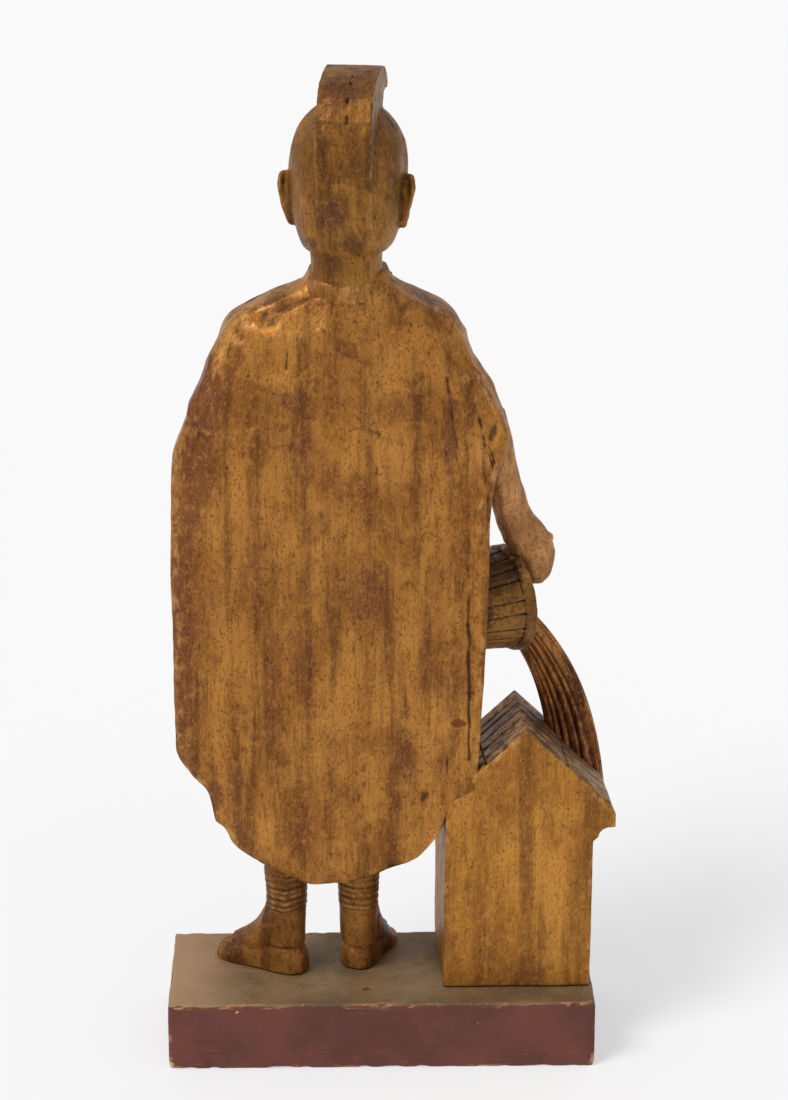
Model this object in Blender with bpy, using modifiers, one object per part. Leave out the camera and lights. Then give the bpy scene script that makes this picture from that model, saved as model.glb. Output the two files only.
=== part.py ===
"""Carved and painted shelf figure: a helmeted soldier saint in a long cape, seen best from behind,
who pours a bucket of water over a small house at their feet, on a plain board plinth.

Metres, +Z up. The origin is the centre of the plinth's underside. The figure faces -Y, its own
left is +X, and the bucket, the water and the house stand at its right, towards -X.
Two pieces of wood: "figure", carved from one block, and "plinth", the board it is fixed on.
"""
import math

import bmesh
import bpy
from mathutils import Vector

# Plinth board
PLINTH_LENGTH = 0.194
PLINTH_DEPTH = 0.075
PLINTH_HEIGHT = 0.032
PLINTH_EDGE = 0.0008
JOINT_GAP = 0.0003

# The saint: every place on the body is a number of carver's units, 418 of which stand between the
# soles and the top of the crest, counted from the soles up and from the plinth's middle sideways
FIGURE_HEIGHT = 0.418
UNITS_TALL = 418.0
UNIT = FIGURE_HEIGHT / UNITS_TALL
SOLE_Z = PLINTH_HEIGHT + JOINT_GAP

# House at the right foot
HOUSE_INNER_X = -0.0285
HOUSE_WIDTH = 0.0672
HOUSE_BACK_Y = 0.0215
HOUSE_DEPTH = 0.049
HOUSE_WALL_HEIGHT = 0.0732
HOUSE_PEAK_HEIGHT = 0.1272
HOUSE_SKEW = 0.0028
RIDGE_OFFSET = 0.0024
EAVE_REACH = 0.0100
EAVE_DROP = 0.0092
EAVE_CHAMFER = 0.0022
EAVE_SOFFIT = 0.0032
COVE_HEIGHT = 0.0054
COVE_STEPS = 4
EAVE_LEDGE = 0.0021
LEDGE_FALL = 0.0004
PLANK_ROWS = 2
PLANKS_PER_ROW = 6
PLANK_GROOVE_WIDTH = 0.0010
PLANK_GROOVE_DEPTH = 0.0007
GROOVE_CUTTER_RISE = 0.0028
COVERED_MARGIN = 0.0015
DOOR_WIDTH = 0.015
DOOR_STEP = 0.002
DOOR_HEIGHT = 0.031
WINDOW_SIZE = 0.010
WINDOW_SILL = 0.036
WINDOW_SPACING = 0.044
OPENING_RECESS = 0.0018

# Bucket held by its rim, mouth to the figure's right
BUCKET_RIM_RADIUS = 0.0243
BUCKET_BASE_RADIUS = 0.0195
BUCKET_LENGTH = 0.031
BUCKET_WALL = 0.0026
BUCKET_RECESS = 0.008
HOOP_WIDTH = 0.0042
HOOP_PROUD = 0.0009
HOOP_TAPER = 0.0003
STAVES = 16
STAVE_GROOVE = 0.0008
STAVE_GROOVE_SHARE = 0.14

# Poured water
WATER_TOP_HALF_WIDTH = 0.0075
WATER_FOOT_HALF_WIDTH = 0.0134
WATER_WIDENING = 1.35
WATER_HALF_DEPTH = 0.0072
WATER_STEPS = 8
WATER_FLUTES = 10
FLUTE_DEPTH = 0.0012
WATER_SINK = 0.026
WATER_LANDS_INSIDE = 0.0048

GILT_WOOD = ((0.30, 0.15, 0.045), 0.48, 0.35)
PLINTH_PAINT = ((0.16, 0.05, 0.035), 0.70, 0.0)


def clear_scene():
    for item in list(bpy.data.objects):
        bpy.data.objects.remove(item, do_unlink=True)


def new_collection(name):
    group = bpy.data.collections.new(name)
    bpy.context.scene.collection.children.link(group)
    return group


def new_material(name, finish):
    colour, roughness, metallic = finish
    material = bpy.data.materials.new(name)
    material.use_nodes = True
    shader = material.node_tree.nodes["Principled BSDF"]
    shader.inputs["Base Color"].default_value = (*colour, 1.0)
    shader.inputs["Roughness"].default_value = roughness
    shader.inputs["Metallic"].default_value = metallic
    return material


def body(x, y, z):
    """A place on the saint, from carver's units to metres."""
    return Vector((x * UNIT, y * UNIT, SOLE_Z + z * UNIT))


def smooth_through(keys):
    """A smooth function through (position, value) keys, without overshoot between them."""
    at = [key[0] for key in keys]
    value = [key[1] for key in keys]
    steps = [(value[i + 1] - value[i]) / (at[i + 1] - at[i]) for i in range(len(keys) - 1)]
    slopes = [steps[0]]
    for before, after in zip(steps, steps[1:]):
        slopes.append(0.0 if before * after <= 0 else 2 * before * after / (before + after))
    slopes.append(steps[-1])

    def read(t):
        if t <= at[0]:
            return value[0]
        if t >= at[-1]:
            return value[-1]
        i = max(k for k in range(len(at) - 1) if at[k] <= t)
        span = at[i + 1] - at[i]
        s = (t - at[i]) / span
        return (value[i] * (1 + 2 * s) * (1 - s) ** 2 + slopes[i] * span * s * (1 - s) ** 2
                + value[i + 1] * s * s * (3 - 2 * s) - slopes[i + 1] * span * s * s * (1 - s))

    return read


def bump(t, centre, width):
    """One at the centre, falling smoothly to nothing a width away."""
    away = abs(t - centre) / width
    return 0.0 if away >= 1 else 0.5 + 0.5 * math.cos(math.pi * away)


def mesh_object(name, mesh, group):
    made = bpy.data.objects.new(name, mesh)
    group.objects.link(made)
    return made


def finish_bmesh(name, shape, group):
    shape.normal_update()
    bmesh.ops.recalc_face_normals(shape, faces=shape.faces)
    mesh = bpy.data.meshes.new(name)
    shape.to_mesh(mesh)
    shape.free()
    return mesh_object(name, mesh, group)


def loft(name, rings, group):
    """A closed body through rings of equal count, each end closed by a fan to its middle."""
    shape = bmesh.new()
    rows = [[shape.verts.new(point) for point in ring] for ring in rings]
    count = len(rows[0])
    for low, high in zip(rows, rows[1:]):
        for i in range(count):
            k = (i + 1) % count
            shape.faces.new((low[i], low[k], high[k], high[i]))
    for row in (rows[0], rows[-1]):
        middle = shape.verts.new(sum((vert.co for vert in row), Vector()) / count)
        for i in range(count):
            shape.faces.new((row[i], row[(i + 1) % count], middle))
    return finish_bmesh(name, shape, group)


def flat_ring(z, cx, cy, rx, ry, sides, power=2.0):
    """A level ring in carver's units; a power over 2 makes it squarer."""
    ring = []
    for i in range(sides):
        angle = math.tau * i / sides
        c, s = math.cos(angle), math.sin(angle)
        reach_x = math.copysign(abs(c) ** (2 / power), c)
        reach_y = math.copysign(abs(s) ** (2 / power), s)
        ring.append((cx + rx * reach_x, cy + ry * reach_y, z))
    return ring


def level_loft(name, stations, sides, group, power=2.0, place=body):
    """A body through level rings: each station is height, middle x, middle y, half width, half depth."""
    rings = [[place(*point) for point in flat_ring(*station, sides, power)] for station in stations]
    return loft(name, rings, group)


def limb(name, stations, sides, group, place=body, cross=Vector((0, 1, 0))):
    """A body along a path: each station is x, y, z, half width and half depth, in carver's units."""
    points = [Vector(station[:3]) for station in stations]
    rings = []
    for i, station in enumerate(stations):
        along = (points[min(i + 1, len(points) - 1)] - points[max(i - 1, 0)]).normalized()
        side = along.cross(cross).normalized()
        deep = side.cross(along).normalized()
        ring = []
        for k in range(sides):
            angle = math.tau * k / sides
            ring.append(place(*(points[i] + side * station[3] * math.cos(angle)
                                + deep * station[4] * math.sin(angle))))
        rings.append(ring)
    return loft(name, rings, group)


def ellipsoid(name, centre, radii, group, turn=0.0, segments=16, rings=10, place=body):
    shape = bmesh.new()
    bmesh.ops.create_uvsphere(shape, u_segments=segments, v_segments=rings, radius=1.0)
    c, s = math.cos(turn), math.sin(turn)
    for vert in shape.verts:
        x, y, z = (vert.co[i] * radii[i] for i in range(3))
        vert.co = place(centre[0] + x * c - y * s, centre[1] + x * s + y * c, centre[2] + z)
    return finish_bmesh(name, shape, group)


def drawn_out(name, outline, low, high, place, group):
    """A flat outline drawn out from one depth to another; place gives the point at a depth."""
    shape = bmesh.new()
    rows = [[shape.verts.new(place(depth, *point)) for point in outline] for depth in (low, high)]
    count = len(outline)
    for i in range(count):
        k = (i + 1) % count
        shape.faces.new((rows[0][i], rows[0][k], rows[1][k], rows[1][i]))
    for row in rows:
        shape.faces.new(row)
    shape.normal_update()
    bmesh.ops.triangulate(shape, faces=[face for face in shape.faces if len(face.verts) > 4])
    return finish_bmesh(name, shape, group)


def box(name, low, high, group):
    shape = bmesh.new()
    bmesh.ops.create_cube(shape, size=1.0)
    for vert in shape.verts:
        vert.co = Vector(low[i] + (vert.co[i] + 0.5) * (high[i] - low[i]) for i in range(3))
    return finish_bmesh(name, shape, group)


# The cape's outline from behind: height above the soles and the distance from the middle, in units
CAPE_LEFT = smooth_through((
    (51.5, 38.0), (54.5, 45.0), (61.9, 58.2), (70.5, 67.9), (76.5, 71.0), (80.5, 75.5), (93.7, 78.4),
    (103.8, 85.9), (116.0, 92.7), (215.0, 92.9), (247.0, 91.6), (266.5, 85.7), (298.0, 71.8),
    (307.5, 67.6), (313.5, 60.5), (319.5, 47.5), (326.0, 34.0), (331.0, 31.0)))
CAPE_RIGHT = smooth_through((
    (51.5, 16.0), (56.8, 0.0), (64.5, -17.2), (77.0, -26.9), (91.5, -32.5), (99.0, -43.0),
    (140.0, -45.6), (194.0, -47.4), (224.7, -48.4), (247.5, -51.5), (258.0, -55.6), (267.0, -53.4),
    (287.5, -43.2), (308.0, -33.6), (313.5, -27.5), (319.0, -17.0), (326.0, -5.0), (331.0, -2.0)))
CAPE_BACK = smooth_through((
    (51.5, 21.5), (80.0, 21.3), (240.0, 20.5), (280.0, 19.6), (300.0, 18.0), (313.5, 15.3),
    (322.5, 13.0), (331.0, 12.2)))
CAPE_THICKNESS = smooth_through((
    (51.5, 11.0), (200.0, 12.0), (240.0, 17.0), (270.0, 26.0), (297.0, 31.0), (313.0, 27.0),
    (322.0, 23.5), (331.0, 22.5)))
CAPE_ROUNDNESS = smooth_through((
    (51.5, 0.0), (215.0, 0.05), (270.0, 0.35), (302.0, 0.85), (313.0, 1.0), (331.0, 1.0)))
CAPE_LEVELS = (51.5, 54.5, 58.5, 63.0, 70.5, 76.5, 80.5, 87.0, 93.7, 98.5, 103.8, 110.0, 116.0,
               140.0, 165.0, 190.0, 213.0, 232.0, 247.5, 258.0, 267.0, 277.0, 287.5, 298.0,
               304.0, 309.0, 314.0, 319.0, 325.0, 331.0)
CAPE_COLUMNS = 24
CAPE_FRONT_COLUMNS = 5
CAPE_LEFT_BOW = 5.5
CAPE_RIGHT_BOW = 0.9
CAPE_LEFT_CHAMFER = 3.0
CAPE_RIGHT_CHAMFER = 1.2
# Depths of the two corners of the cape's edge, as shares of its thickness
CAPE_EDGE_CORNERS = (0.30, 0.72)
SHOULDER_MIDDLE = -1.0
SHOULDER_REACH = 0.995
# Shallow vertical folds: middle, half width and depth; they deepen towards the hem and lean outwards
CAPE_FOLDS = ((80.0, 9.0, 1.0), (62.0, 10.0, 1.3), (42.0, 11.0, 1.2), (21.0, 12.0, 1.4),
              (0.0, 10.0, 1.2), (-19.0, 9.0, 1.3))
FOLD_TOP = 265.0
FOLD_GROWTH = 0.7
FOLD_LEAN = 0.02
# The groove beside the turned edge at the bucket's side, and the heights between which it fades
TURNED_EDGE_X = -36.5
TURNED_EDGE_DEPTH = 1.3
TURNED_EDGE_HALF_WIDTH = 3.0
TURNED_EDGE_FULL_TO = 270.0
TURNED_EDGE_TOP = 300.0
# The height at which the cape's edge crosses the roof's inner slope
COVER_LEVEL = 104.5


def cape_fold(x, z):
    """Depth of the carved folds at a place on the cape's back, in units."""
    strength = max(0.0, min(1.0, (FOLD_TOP - z) / FOLD_TOP))
    depth = sum(deep * bump(x, middle + FOLD_LEAN * (z - FOLD_TOP), width)
                for middle, width, deep in CAPE_FOLDS) * strength ** FOLD_GROWTH
    edge = TURNED_EDGE_DEPTH * bump(x, TURNED_EDGE_X, TURNED_EDGE_HALF_WIDTH)
    fade = (TURNED_EDGE_TOP - z) / (TURNED_EDGE_TOP - TURNED_EDGE_FULL_TO)
    return depth + edge * max(0.0, min(1.0, fade))


def cape_back(x, z):
    """The cape's back surface: nearly flat below, bowed at its left edge, round over the shoulders."""
    left, right = CAPE_LEFT(z), CAPE_RIGHT(z)
    share = (2 * x - left - right) / (left - right)
    share = max(-1.0, min(1.0, share))
    middle = CAPE_BACK(z)
    bowed = (CAPE_LEFT_BOW if share > 0 else CAPE_RIGHT_BOW) * share * share
    rounded = (middle - SHOULDER_MIDDLE) * (1 - math.sqrt(1 - share * share * SHOULDER_REACH))
    mix = CAPE_ROUNDNESS(z)
    return middle - bowed * (1 - mix) - rounded * mix - cape_fold(x, z)


def cape_ring(z):
    """One level section of the cape: along the back, over both edges and along the front."""
    left, right = CAPE_LEFT(z), CAPE_RIGHT(z)
    inner_left = left - min(CAPE_LEFT_CHAMFER, (left - right) / 6)
    inner_right = right + min(CAPE_RIGHT_CHAMFER, (left - right) / 6)
    ring = []
    for i in range(CAPE_COLUMNS + 1):
        x = inner_right + (inner_left - inner_right) * i / CAPE_COLUMNS
        ring.append((x, cape_back(x, z), z))
    thick = CAPE_THICKNESS(z)
    for depth in CAPE_EDGE_CORNERS:
        ring.append((left, cape_back(inner_left, z) - depth * thick, z))
    for i in range(CAPE_FRONT_COLUMNS + 1):
        x = inner_left + (inner_right - inner_left) * i / CAPE_FRONT_COLUMNS
        ring.append((x, cape_back(x, z) - thick, z))
    for depth in reversed(CAPE_EDGE_CORNERS):
        ring.append((right, cape_back(inner_right, z) - depth * thick, z))
    return [body(*point) for point in ring]


def carve_cape(group):
    return loft("cape", [cape_ring(z) for z in CAPE_LEVELS], group)


# The trunk's forms from their lowest ring up: height, middle x, middle y, half width, half depth
CHEST = ((218, 18, -2, 30, 17), (228, 18, -2.5, 29.5, 16.5), (242, 17.5, -3, 30.5, 17.5),
         (262, 17, -4, 34, 19), (282, 16.5, -4, 38, 19.5), (296, 16.5, -3, 38, 17.5),
         (306, 16.5, -1.5, 34, 14.5), (315, 16, -1, 25, 12.5), (323, 15.5, -1, 16, 11))
SKIRT = ((137, 22, -0.5, 39.5, 20.5), (141, 22, -0.5, 39, 20.5), (170, 21, -1, 36, 19.5),
         (200, 19, -1.5, 32.5, 18.5), (226, 18, -2, 30.5, 17.5))
BELT = ((221, 18, -2, 31.8, 18.6), (231, 18, -2.4, 31.5, 18.4))
COLLAR = ((321, 15, 0.5, 18.6, 13.5), (329, 15, 1, 17.9, 13.9), (331.5, 15, 1, 16.6, 13.2))
NECK = ((318, 15, 0.5, 16.0, 13), (334, 15, 1.0, 15.4, 13.6), (347, 14.5, 0.5, 16.4, 15.5))
TRUNK_SIDES = 16
TRUNK_SQUARENESS = 2.3
CLASP_CENTRE = (3.0, -15.0, 318.0)
CLASP_RADII = (6.5, 3.2, 6.5)


def carve_torso(group):
    level_loft("chest", CHEST, TRUNK_SIDES, group, TRUNK_SQUARENESS)
    level_loft("skirt", SKIRT, TRUNK_SIDES, group, TRUNK_SQUARENESS)
    level_loft("belt", BELT, TRUNK_SIDES, group, TRUNK_SQUARENESS)
    level_loft("collar", COLLAR, TRUNK_SIDES, group)
    level_loft("neck", NECK, TRUNK_SIDES, group)
    ellipsoid("clasp", CLASP_CENTRE, CLASP_RADII, group, segments=12, rings=6)


# Raised hanging strips on the front of the skirt; each ring is height, middle x, middle y, reach to
# the side, reach to the front, and the strip's own half width and half depth
STRIPS = 7
STRIP_SPREAD = math.radians(68)
STRIP_RINGS = ((222, 18, -2, 30.8, 17.9, 3.6, 1.3), (139, 22, -0.5, 39.6, 20.9, 4.7, 1.5))


def skirt_strips(group):
    for i in range(STRIPS):
        angle = STRIP_SPREAD * ((i + 0.5) / STRIPS * 2 - 1)
        stations = []
        for z, x, y, reach_x, reach_y, half_width, half_depth in STRIP_RINGS:
            stations.append((x + reach_x * math.sin(angle), y - reach_y * math.cos(angle), z,
                             half_width, half_depth))
        outward = Vector((math.sin(angle), -math.cos(angle), 0))
        limb(f"strip_{i}", stations, 8, group, cross=outward)


# The legs' middle lines from the hip to the ankle, with their half widths
LEFT_LEG = ((33.0, 0.0, 150), (40.5, -1.0, 106), (43.5, 2.0, 80), (43.5, 1.5, 53), (43.5, 1.0, 40),
            (44.5, 0.0, 14))
RIGHT_LEG = ((12.0, 0.0, 150), (10.0, -1.0, 106), (10.2, 2.0, 80), (10.3, 1.5, 53), (10.3, 0.5, 40),
             (10.0, -3.0, 14))
LEG_WIDTHS = (13.0, 10.5, 11.0, 9.9, 8.7, 7.6)
LEG_LEVELS_ABOVE_BANDS = (150, 128, 106, 92, 80, 66)
LEG_LEVELS_BELOW_BANDS = (22, 10)
LEG_SIDES = 12
ANKLE_BANDS = 5
ANKLE_BAND_TOP = 52.0
ANKLE_BAND_PITCH = 4.4
ANKLE_BAND_PROUD = 0.9


def carve_leg(name, path, group):
    widths = smooth_through([(-point[2], width) for point, width in zip(path, LEG_WIDTHS)])
    x_at = smooth_through([(-point[2], point[0]) for point in path])
    y_at = smooth_through([(-point[2], point[1]) for point in path])
    levels = [(z, 0.0) for z in LEG_LEVELS_ABOVE_BANDS]
    for i in range(ANKLE_BANDS):
        top = ANKLE_BAND_TOP - i * ANKLE_BAND_PITCH
        levels += [(top, 0.0), (top - ANKLE_BAND_PITCH / 2, ANKLE_BAND_PROUD)]
    levels.append((ANKLE_BAND_TOP - ANKLE_BANDS * ANKLE_BAND_PITCH, 0.0))
    levels += [(z, 0.0) for z in LEG_LEVELS_BELOW_BANDS]
    stations = [(z, x_at(-z), y_at(-z), widths(-z) + proud, widths(-z) + proud) for z, proud in levels]
    return level_loft(name, stations[::-1], LEG_SIDES, group)


# A foot from the back of the heel to the toes: distance, half width and height, in units
FOOT = ((-2.0, 3.5, 9.0), (0.5, 6.5, 14.0), (5.0, 8.2, 19.5), (11.0, 8.8, 22.0), (18.0, 9.0, 20.0),
        (25.0, 9.6, 15.5), (32.0, 10.4, 11.5), (38.0, 9.8, 8.5), (42.0, 7.6, 6.5), (44.0, 4.5, 4.5))
FOOT_ARCH_STEPS = 8
FOOT_ARCH_FULLNESS = 0.8
SOLE_EDGE = 1.2
SOLE_NARROWING = 0.94
# Each foot's heel, its turn from straight ahead and its length
LEFT_FOOT = ((36.5, 3.5), math.radians(59), 44.0)
RIGHT_FOOT = ((12.5, 1.0), math.radians(-21), 38.0)


def carve_foot(name, heel, splay, length, group):
    """A flat-soled foot that points away from the heel, turned from straight ahead by the splay."""
    ahead = Vector((math.sin(splay), -math.cos(splay), 0))
    across = Vector((math.cos(splay), math.sin(splay), 0))
    rings = []
    for distance, half_width, height in FOOT:
        middle = Vector((*heel, 0)) + ahead * distance * length / FOOT[-1][0]
        ring = []
        for i in range(FOOT_ARCH_STEPS + 1):
            angle = math.pi * i / FOOT_ARCH_STEPS
            point = middle + across * half_width * math.cos(angle)
            point.z = SOLE_EDGE + (height - SOLE_EDGE) * max(0.0, math.sin(angle)) ** FOOT_ARCH_FULLNESS
            ring.append(body(*point))
        for side in (-1, 1):
            point = middle + across * half_width * SOLE_NARROWING * side
            ring.append(body(point.x, point.y, 0.0))
        rings.append(ring)
    return loft(name, rings, group)


# The head, turned a little towards the bucket; its forms are level rings about its own middle, from
# the lowest up: height, middle x, middle y, half width, half depth
HEAD_MIDDLE = (14.2, -1.0)
HEAD_TURN = math.radians(-7.5)
SKULL = ((341.5, 0, 2.5, 17.5, 20.0), (344.0, 0, 2.0, 19.6, 23.0), (350.0, 0, 1.5, 22.0, 26.0),
         (360.0, 0, 0.5, 24.4, 28.2), (375.0, 0, 0, 25.3, 29.2), (384.0, 0, 0, 24.6, 28.6),
         (392.0, 0, 0, 21.9, 25.7), (398.0, 0, 0, 17.8, 21.0), (402.0, 0, 0, 12.8, 15.2),
         (404.6, 0, 0, 6.0, 7.2))
JAW = ((330.5, 0, -17.5, 5.5, 6.0), (333.5, 0, -15.5, 10.0, 11.0), (341.0, 0, -11.0, 15.5, 17.0),
       (352.0, 0, -7.5, 19.5, 21.5), (366.0, 0, -4.0, 21.8, 25.0), (378.0, 0, -2.0, 22.0, 26.5))
VISOR = ((376.5, 0, -6.5, 22.5, 24.5), (378.5, 0, -6.5, 23.6, 26.6), (382.5, 0, -6.5, 23.2, 26.0),
         (384.5, 0, -6.0, 21.6, 23.6))
SKULL_SIDES = 20
JAW_SIDES = 16
# The ear and the nose along their length: x, y, height, half width, half depth
EAR = ((27.0, 3.4, 373.0, 1.4, 2.2), (27.6, 3.4, 370.5, 2.2, 4.6), (27.2, 3.2, 366.0, 2.6, 5.4),
       (25.4, 2.8, 359.0, 2.3, 4.4), (23.8, 2.2, 353.5, 1.8, 3.0), (23.0, 2.0, 351.5, 1.2, 1.8))
NOSE = ((0, -29.0, 371.5, 2.2, 2.0), (0, -31.2, 362.0, 2.6, 2.6), (0, -32.2, 357.0, 4.0, 3.2),
        (0, -28.0, 354.0, 3.2, 2.4))
# The smaller forms of the face: middle, radii and turn
BROW = ((8.5, -25.6, 370.5), (8.0, 3.0, 1.8), 0.28)
EYE = ((8.8, -25.4, 365.5), (4.6, 2.6, 2.2), 0.30)
LIPS = ((0.0, -26.6, 348.3), (6.4, 3.0, 2.3), 0.0)
CHIN = ((0.0, -22.6, 336.6), (7.4, 5.0, 5.4), 0.0)


def head_place(x, y, z):
    """A place on the turned head."""
    c, s = math.cos(HEAD_TURN), math.sin(HEAD_TURN)
    return body(HEAD_MIDDLE[0] + x * c - y * s, HEAD_MIDDLE[1] + x * s + y * c, z)


def face_form(name, form, side, group):
    (x, y, z), radii, turn = form
    return ellipsoid(name, (side * x, y, z), radii, group, turn=side * turn, segments=10, rings=6,
                     place=head_place)


def carve_head(group):
    level_loft("skull", SKULL, SKULL_SIDES, group, place=head_place)
    level_loft("jaw", JAW, JAW_SIDES, group, place=head_place)
    level_loft("visor", VISOR, JAW_SIDES, group, place=head_place)
    limb("nose", NOSE, 8, group, place=head_place, cross=Vector((0, 1, 0.01)))
    for side in (-1, 1):
        face_form(f"brow_{side}", BROW, side, group)
        face_form(f"eye_{side}", EYE, side, group)
        ear = [(side * x, y, z, half_width, half_depth) for x, y, z, half_width, half_depth in EAR]
        limb(f"ear_{side}", ear, 8, group, place=head_place)
    face_form("lips", LIPS, 1, group)
    face_form("chin", CHIN, 1, group)


# The crest's side outline over the dome: distance behind the ears' line and height, in units
CREST_OUTER = ((20.0, 346.0), (27.5, 356.0), (30.0, 368.0), (32.0, 380.0), (32.6, 391.0), (30.6, 401.0),
               (25.6, 409.5), (17.5, 415.0), (6.0, 417.8), (-8.0, 417.9), (-19.0, 415.6), (-27.0, 411.0),
               (-30.0, 406.5))
CREST_INNER = ((-26.5, 405.0), (-20.5, 407.0), (-14.0, 405.0), (-9.5, 400.0), (-5.0, 392.0), (8.0, 384.0))
CREST_HALF_WIDTH = 12.0
CREST_SHIFT = -1.8


def carve_crest(group):
    """The broad crest: its side outline drawn out across the head."""
    return drawn_out("crest", [*CREST_OUTER, *CREST_INNER], CREST_SHIFT - CREST_HALF_WIDTH,
                     CREST_SHIFT + CREST_HALF_WIDTH, head_place, group)


# The arms and hands along their length: x, y, height, half width, half depth
RIGHT_UPPER_ARM = ((-14, -1, 304, 11, 11), (-27, -1, 291, 12, 12), (-38.5, -3, 275, 11.5, 11),
                   (-44.5, -4, 262, 9.5, 10), (-47, -5, 252, 8.0, 8))
RIGHT_FOREARM = ((-45.5, -3, 266, 8.8, 9), (-49.5, -5, 252, 8.6, 8.6), (-52.2, -7, 240, 8.1, 8.0),
                 (-55.8, -9, 227, 8.1, 7.6), (-59.5, -10.5, 216, 8.4, 7.2), (-63.0, -11, 208, 9.4, 7.5))
RIGHT_HAND = ((-61.5, -10.5, 212, 8.8, 7.2), (-65.8, -11, 205, 9.8, 7.4), (-68.8, -12, 198, 9.4, 7.4),
              (-69.6, -13, 191, 7.2, 6.6), (-68.5, -14, 185.5, 4.2, 4.6))
RIGHT_PALM_CENTRE = (-69.0, -16.5, 193.5)
RIGHT_PALM_RADII = (5.6, 6.4, 11.0)
LEFT_UPPER_ARM = ((40, -1, 300, 11, 10.5), (56, -2, 288, 12, 11.5), (71.5, -4, 266, 11, 11.5),
                  (78, -7, 252, 9.5, 11), (77.5, -10, 244, 8.0, 9))
LEFT_FOREARM = ((78, -7, 254, 9, 10), (73, -13, 245, 8.2, 8.5), (63, -19, 237, 7.3, 7.5),
                (54, -22, 232, 6.2, 6.4))
LEFT_HAND = ((56, -21, 233, 6.2, 5.6), (50, -23, 230, 7.8, 5.4), (44, -23.5, 227, 7.6, 5.0),
             (39, -22.5, 224, 5.4, 4.0))
ARM_SIDES = 12
LEFT_ARM_CROSS = Vector((0, 0.3, 1))
# The first finger of each hand, and how each next one differs from it at every station
FINGERS = 4
FINGER_SIDES = 8
RIGHT_FINGER = ((-73.0, -10.0, 203.0, 3.2, 3.2), (-74.5, -16.0, 201.0, 3.3, 3.2),
                (-71.0, -21.5, 199.0, 3.1, 3.1), (-64.5, -22.5, 197.5, 2.7, 2.7))
RIGHT_FINGER_STEP = ((0.9, -0.8, -5.0), (1.2, 0.0, -5.0), (0.9, 0.0, -5.0), (0.0, 0.0, -5.0))
LEFT_FINGER = ((42.0, -24.5, 233.0, 2.5, 2.6), (36.5, -26.0, 231.5, 2.6, 2.6),
               (31.5, -23.5, 230.0, 2.3, 2.3))
LEFT_FINGER_STEP = ((0.0, 0.0, -4.4),) * len(LEFT_FINGER)


def carve_fingers(name, first, step, group):
    for i in range(FINGERS):
        path = []
        for station, move in zip(first, step):
            place = [value + i * change for value, change in zip(station, move)]
            path.append((*place, *station[3:]))
        limb(f"{name}_{i}", path, FINGER_SIDES, group, cross=Vector((0, 0, 1)))


def carve_arms(group):
    limb("right_upper_arm", RIGHT_UPPER_ARM, ARM_SIDES, group)
    limb("right_forearm", RIGHT_FOREARM, ARM_SIDES, group)
    limb("right_hand", RIGHT_HAND, ARM_SIDES, group)
    ellipsoid("right_palm", RIGHT_PALM_CENTRE, RIGHT_PALM_RADII, group, segments=10, rings=6)
    limb("left_upper_arm", LEFT_UPPER_ARM, ARM_SIDES, group)
    limb("left_forearm", LEFT_FOREARM, ARM_SIDES, group, cross=LEFT_ARM_CROSS)
    limb("left_hand", LEFT_HAND, ARM_SIDES, group, cross=LEFT_ARM_CROSS)
    carve_fingers("right_finger", RIGHT_FINGER, RIGHT_FINGER_STEP, group)
    carve_fingers("left_finger", LEFT_FINGER, LEFT_FINGER_STEP, group)


# Where the bucket's rim stands and which way its mouth looks
RIM_CENTRE = (-59.3, -15.0, 177.3)
BUCKET_AXIS = Vector((-0.906, -0.419, 0.056)).normalized()


def bucket_frame():
    """The bucket's rim centre in metres and the two directions across its mouth."""
    across = BUCKET_AXIS.cross(Vector((0, 0, 1))).normalized()
    return body(*RIM_CENTRE), across, across.cross(BUCKET_AXIS).normalized()


def bucket_ring(back, radius, groove):
    """A ring of the bucket, a distance back from the rim; three points a stave, one in the groove."""
    centre, across, upward = bucket_frame()
    ring = []
    for i in range(STAVES):
        for share, depth in ((0.0, groove), (STAVE_GROOVE_SHARE, 0.0), (1 - STAVE_GROOVE_SHARE, 0.0)):
            angle = math.tau * (i + share) / STAVES
            reach = radius - depth
            ring.append(centre - BUCKET_AXIS * back + across * reach * math.cos(angle)
                        + upward * reach * math.sin(angle))
    return ring


def carve_bucket(group):
    taper = (BUCKET_RIM_RADIUS - BUCKET_BASE_RADIUS) / BUCKET_LENGTH
    wall_radius = BUCKET_RIM_RADIUS - HOOP_PROUD
    stations = ((BUCKET_LENGTH, BUCKET_BASE_RADIUS, STAVE_GROOVE),
                (HOOP_WIDTH + HOOP_PROUD, wall_radius - taper * HOOP_WIDTH, STAVE_GROOVE),
                (HOOP_WIDTH, BUCKET_RIM_RADIUS - HOOP_TAPER, 0.0),
                (0.0, BUCKET_RIM_RADIUS, 0.0),
                (0.0, BUCKET_RIM_RADIUS - BUCKET_WALL, 0.0),
                (BUCKET_RECESS, BUCKET_RIM_RADIUS - BUCKET_WALL - taper * BUCKET_RECESS, 0.0))
    return loft("bucket", [bucket_ring(*station) for station in stations], group)


HOUSE_OUTER_X = HOUSE_INNER_X - HOUSE_WIDTH
RIDGE_X = HOUSE_INNER_X - HOUSE_WIDTH / 2 - RIDGE_OFFSET
RIDGE_Z = SOLE_Z + HOUSE_PEAK_HEIGHT
HOUSE_FRONT_Y = HOUSE_BACK_Y - HOUSE_DEPTH
WALL_TOP_Z = SOLE_Z + HOUSE_WALL_HEIGHT
EAVE_TOP_Z = WALL_TOP_Z + LEDGE_FALL + COVE_HEIGHT + EAVE_DROP
ROOF_FALL = (RIDGE_Z - EAVE_TOP_Z) / (RIDGE_X - HOUSE_OUTER_X + EAVE_REACH)


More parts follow.
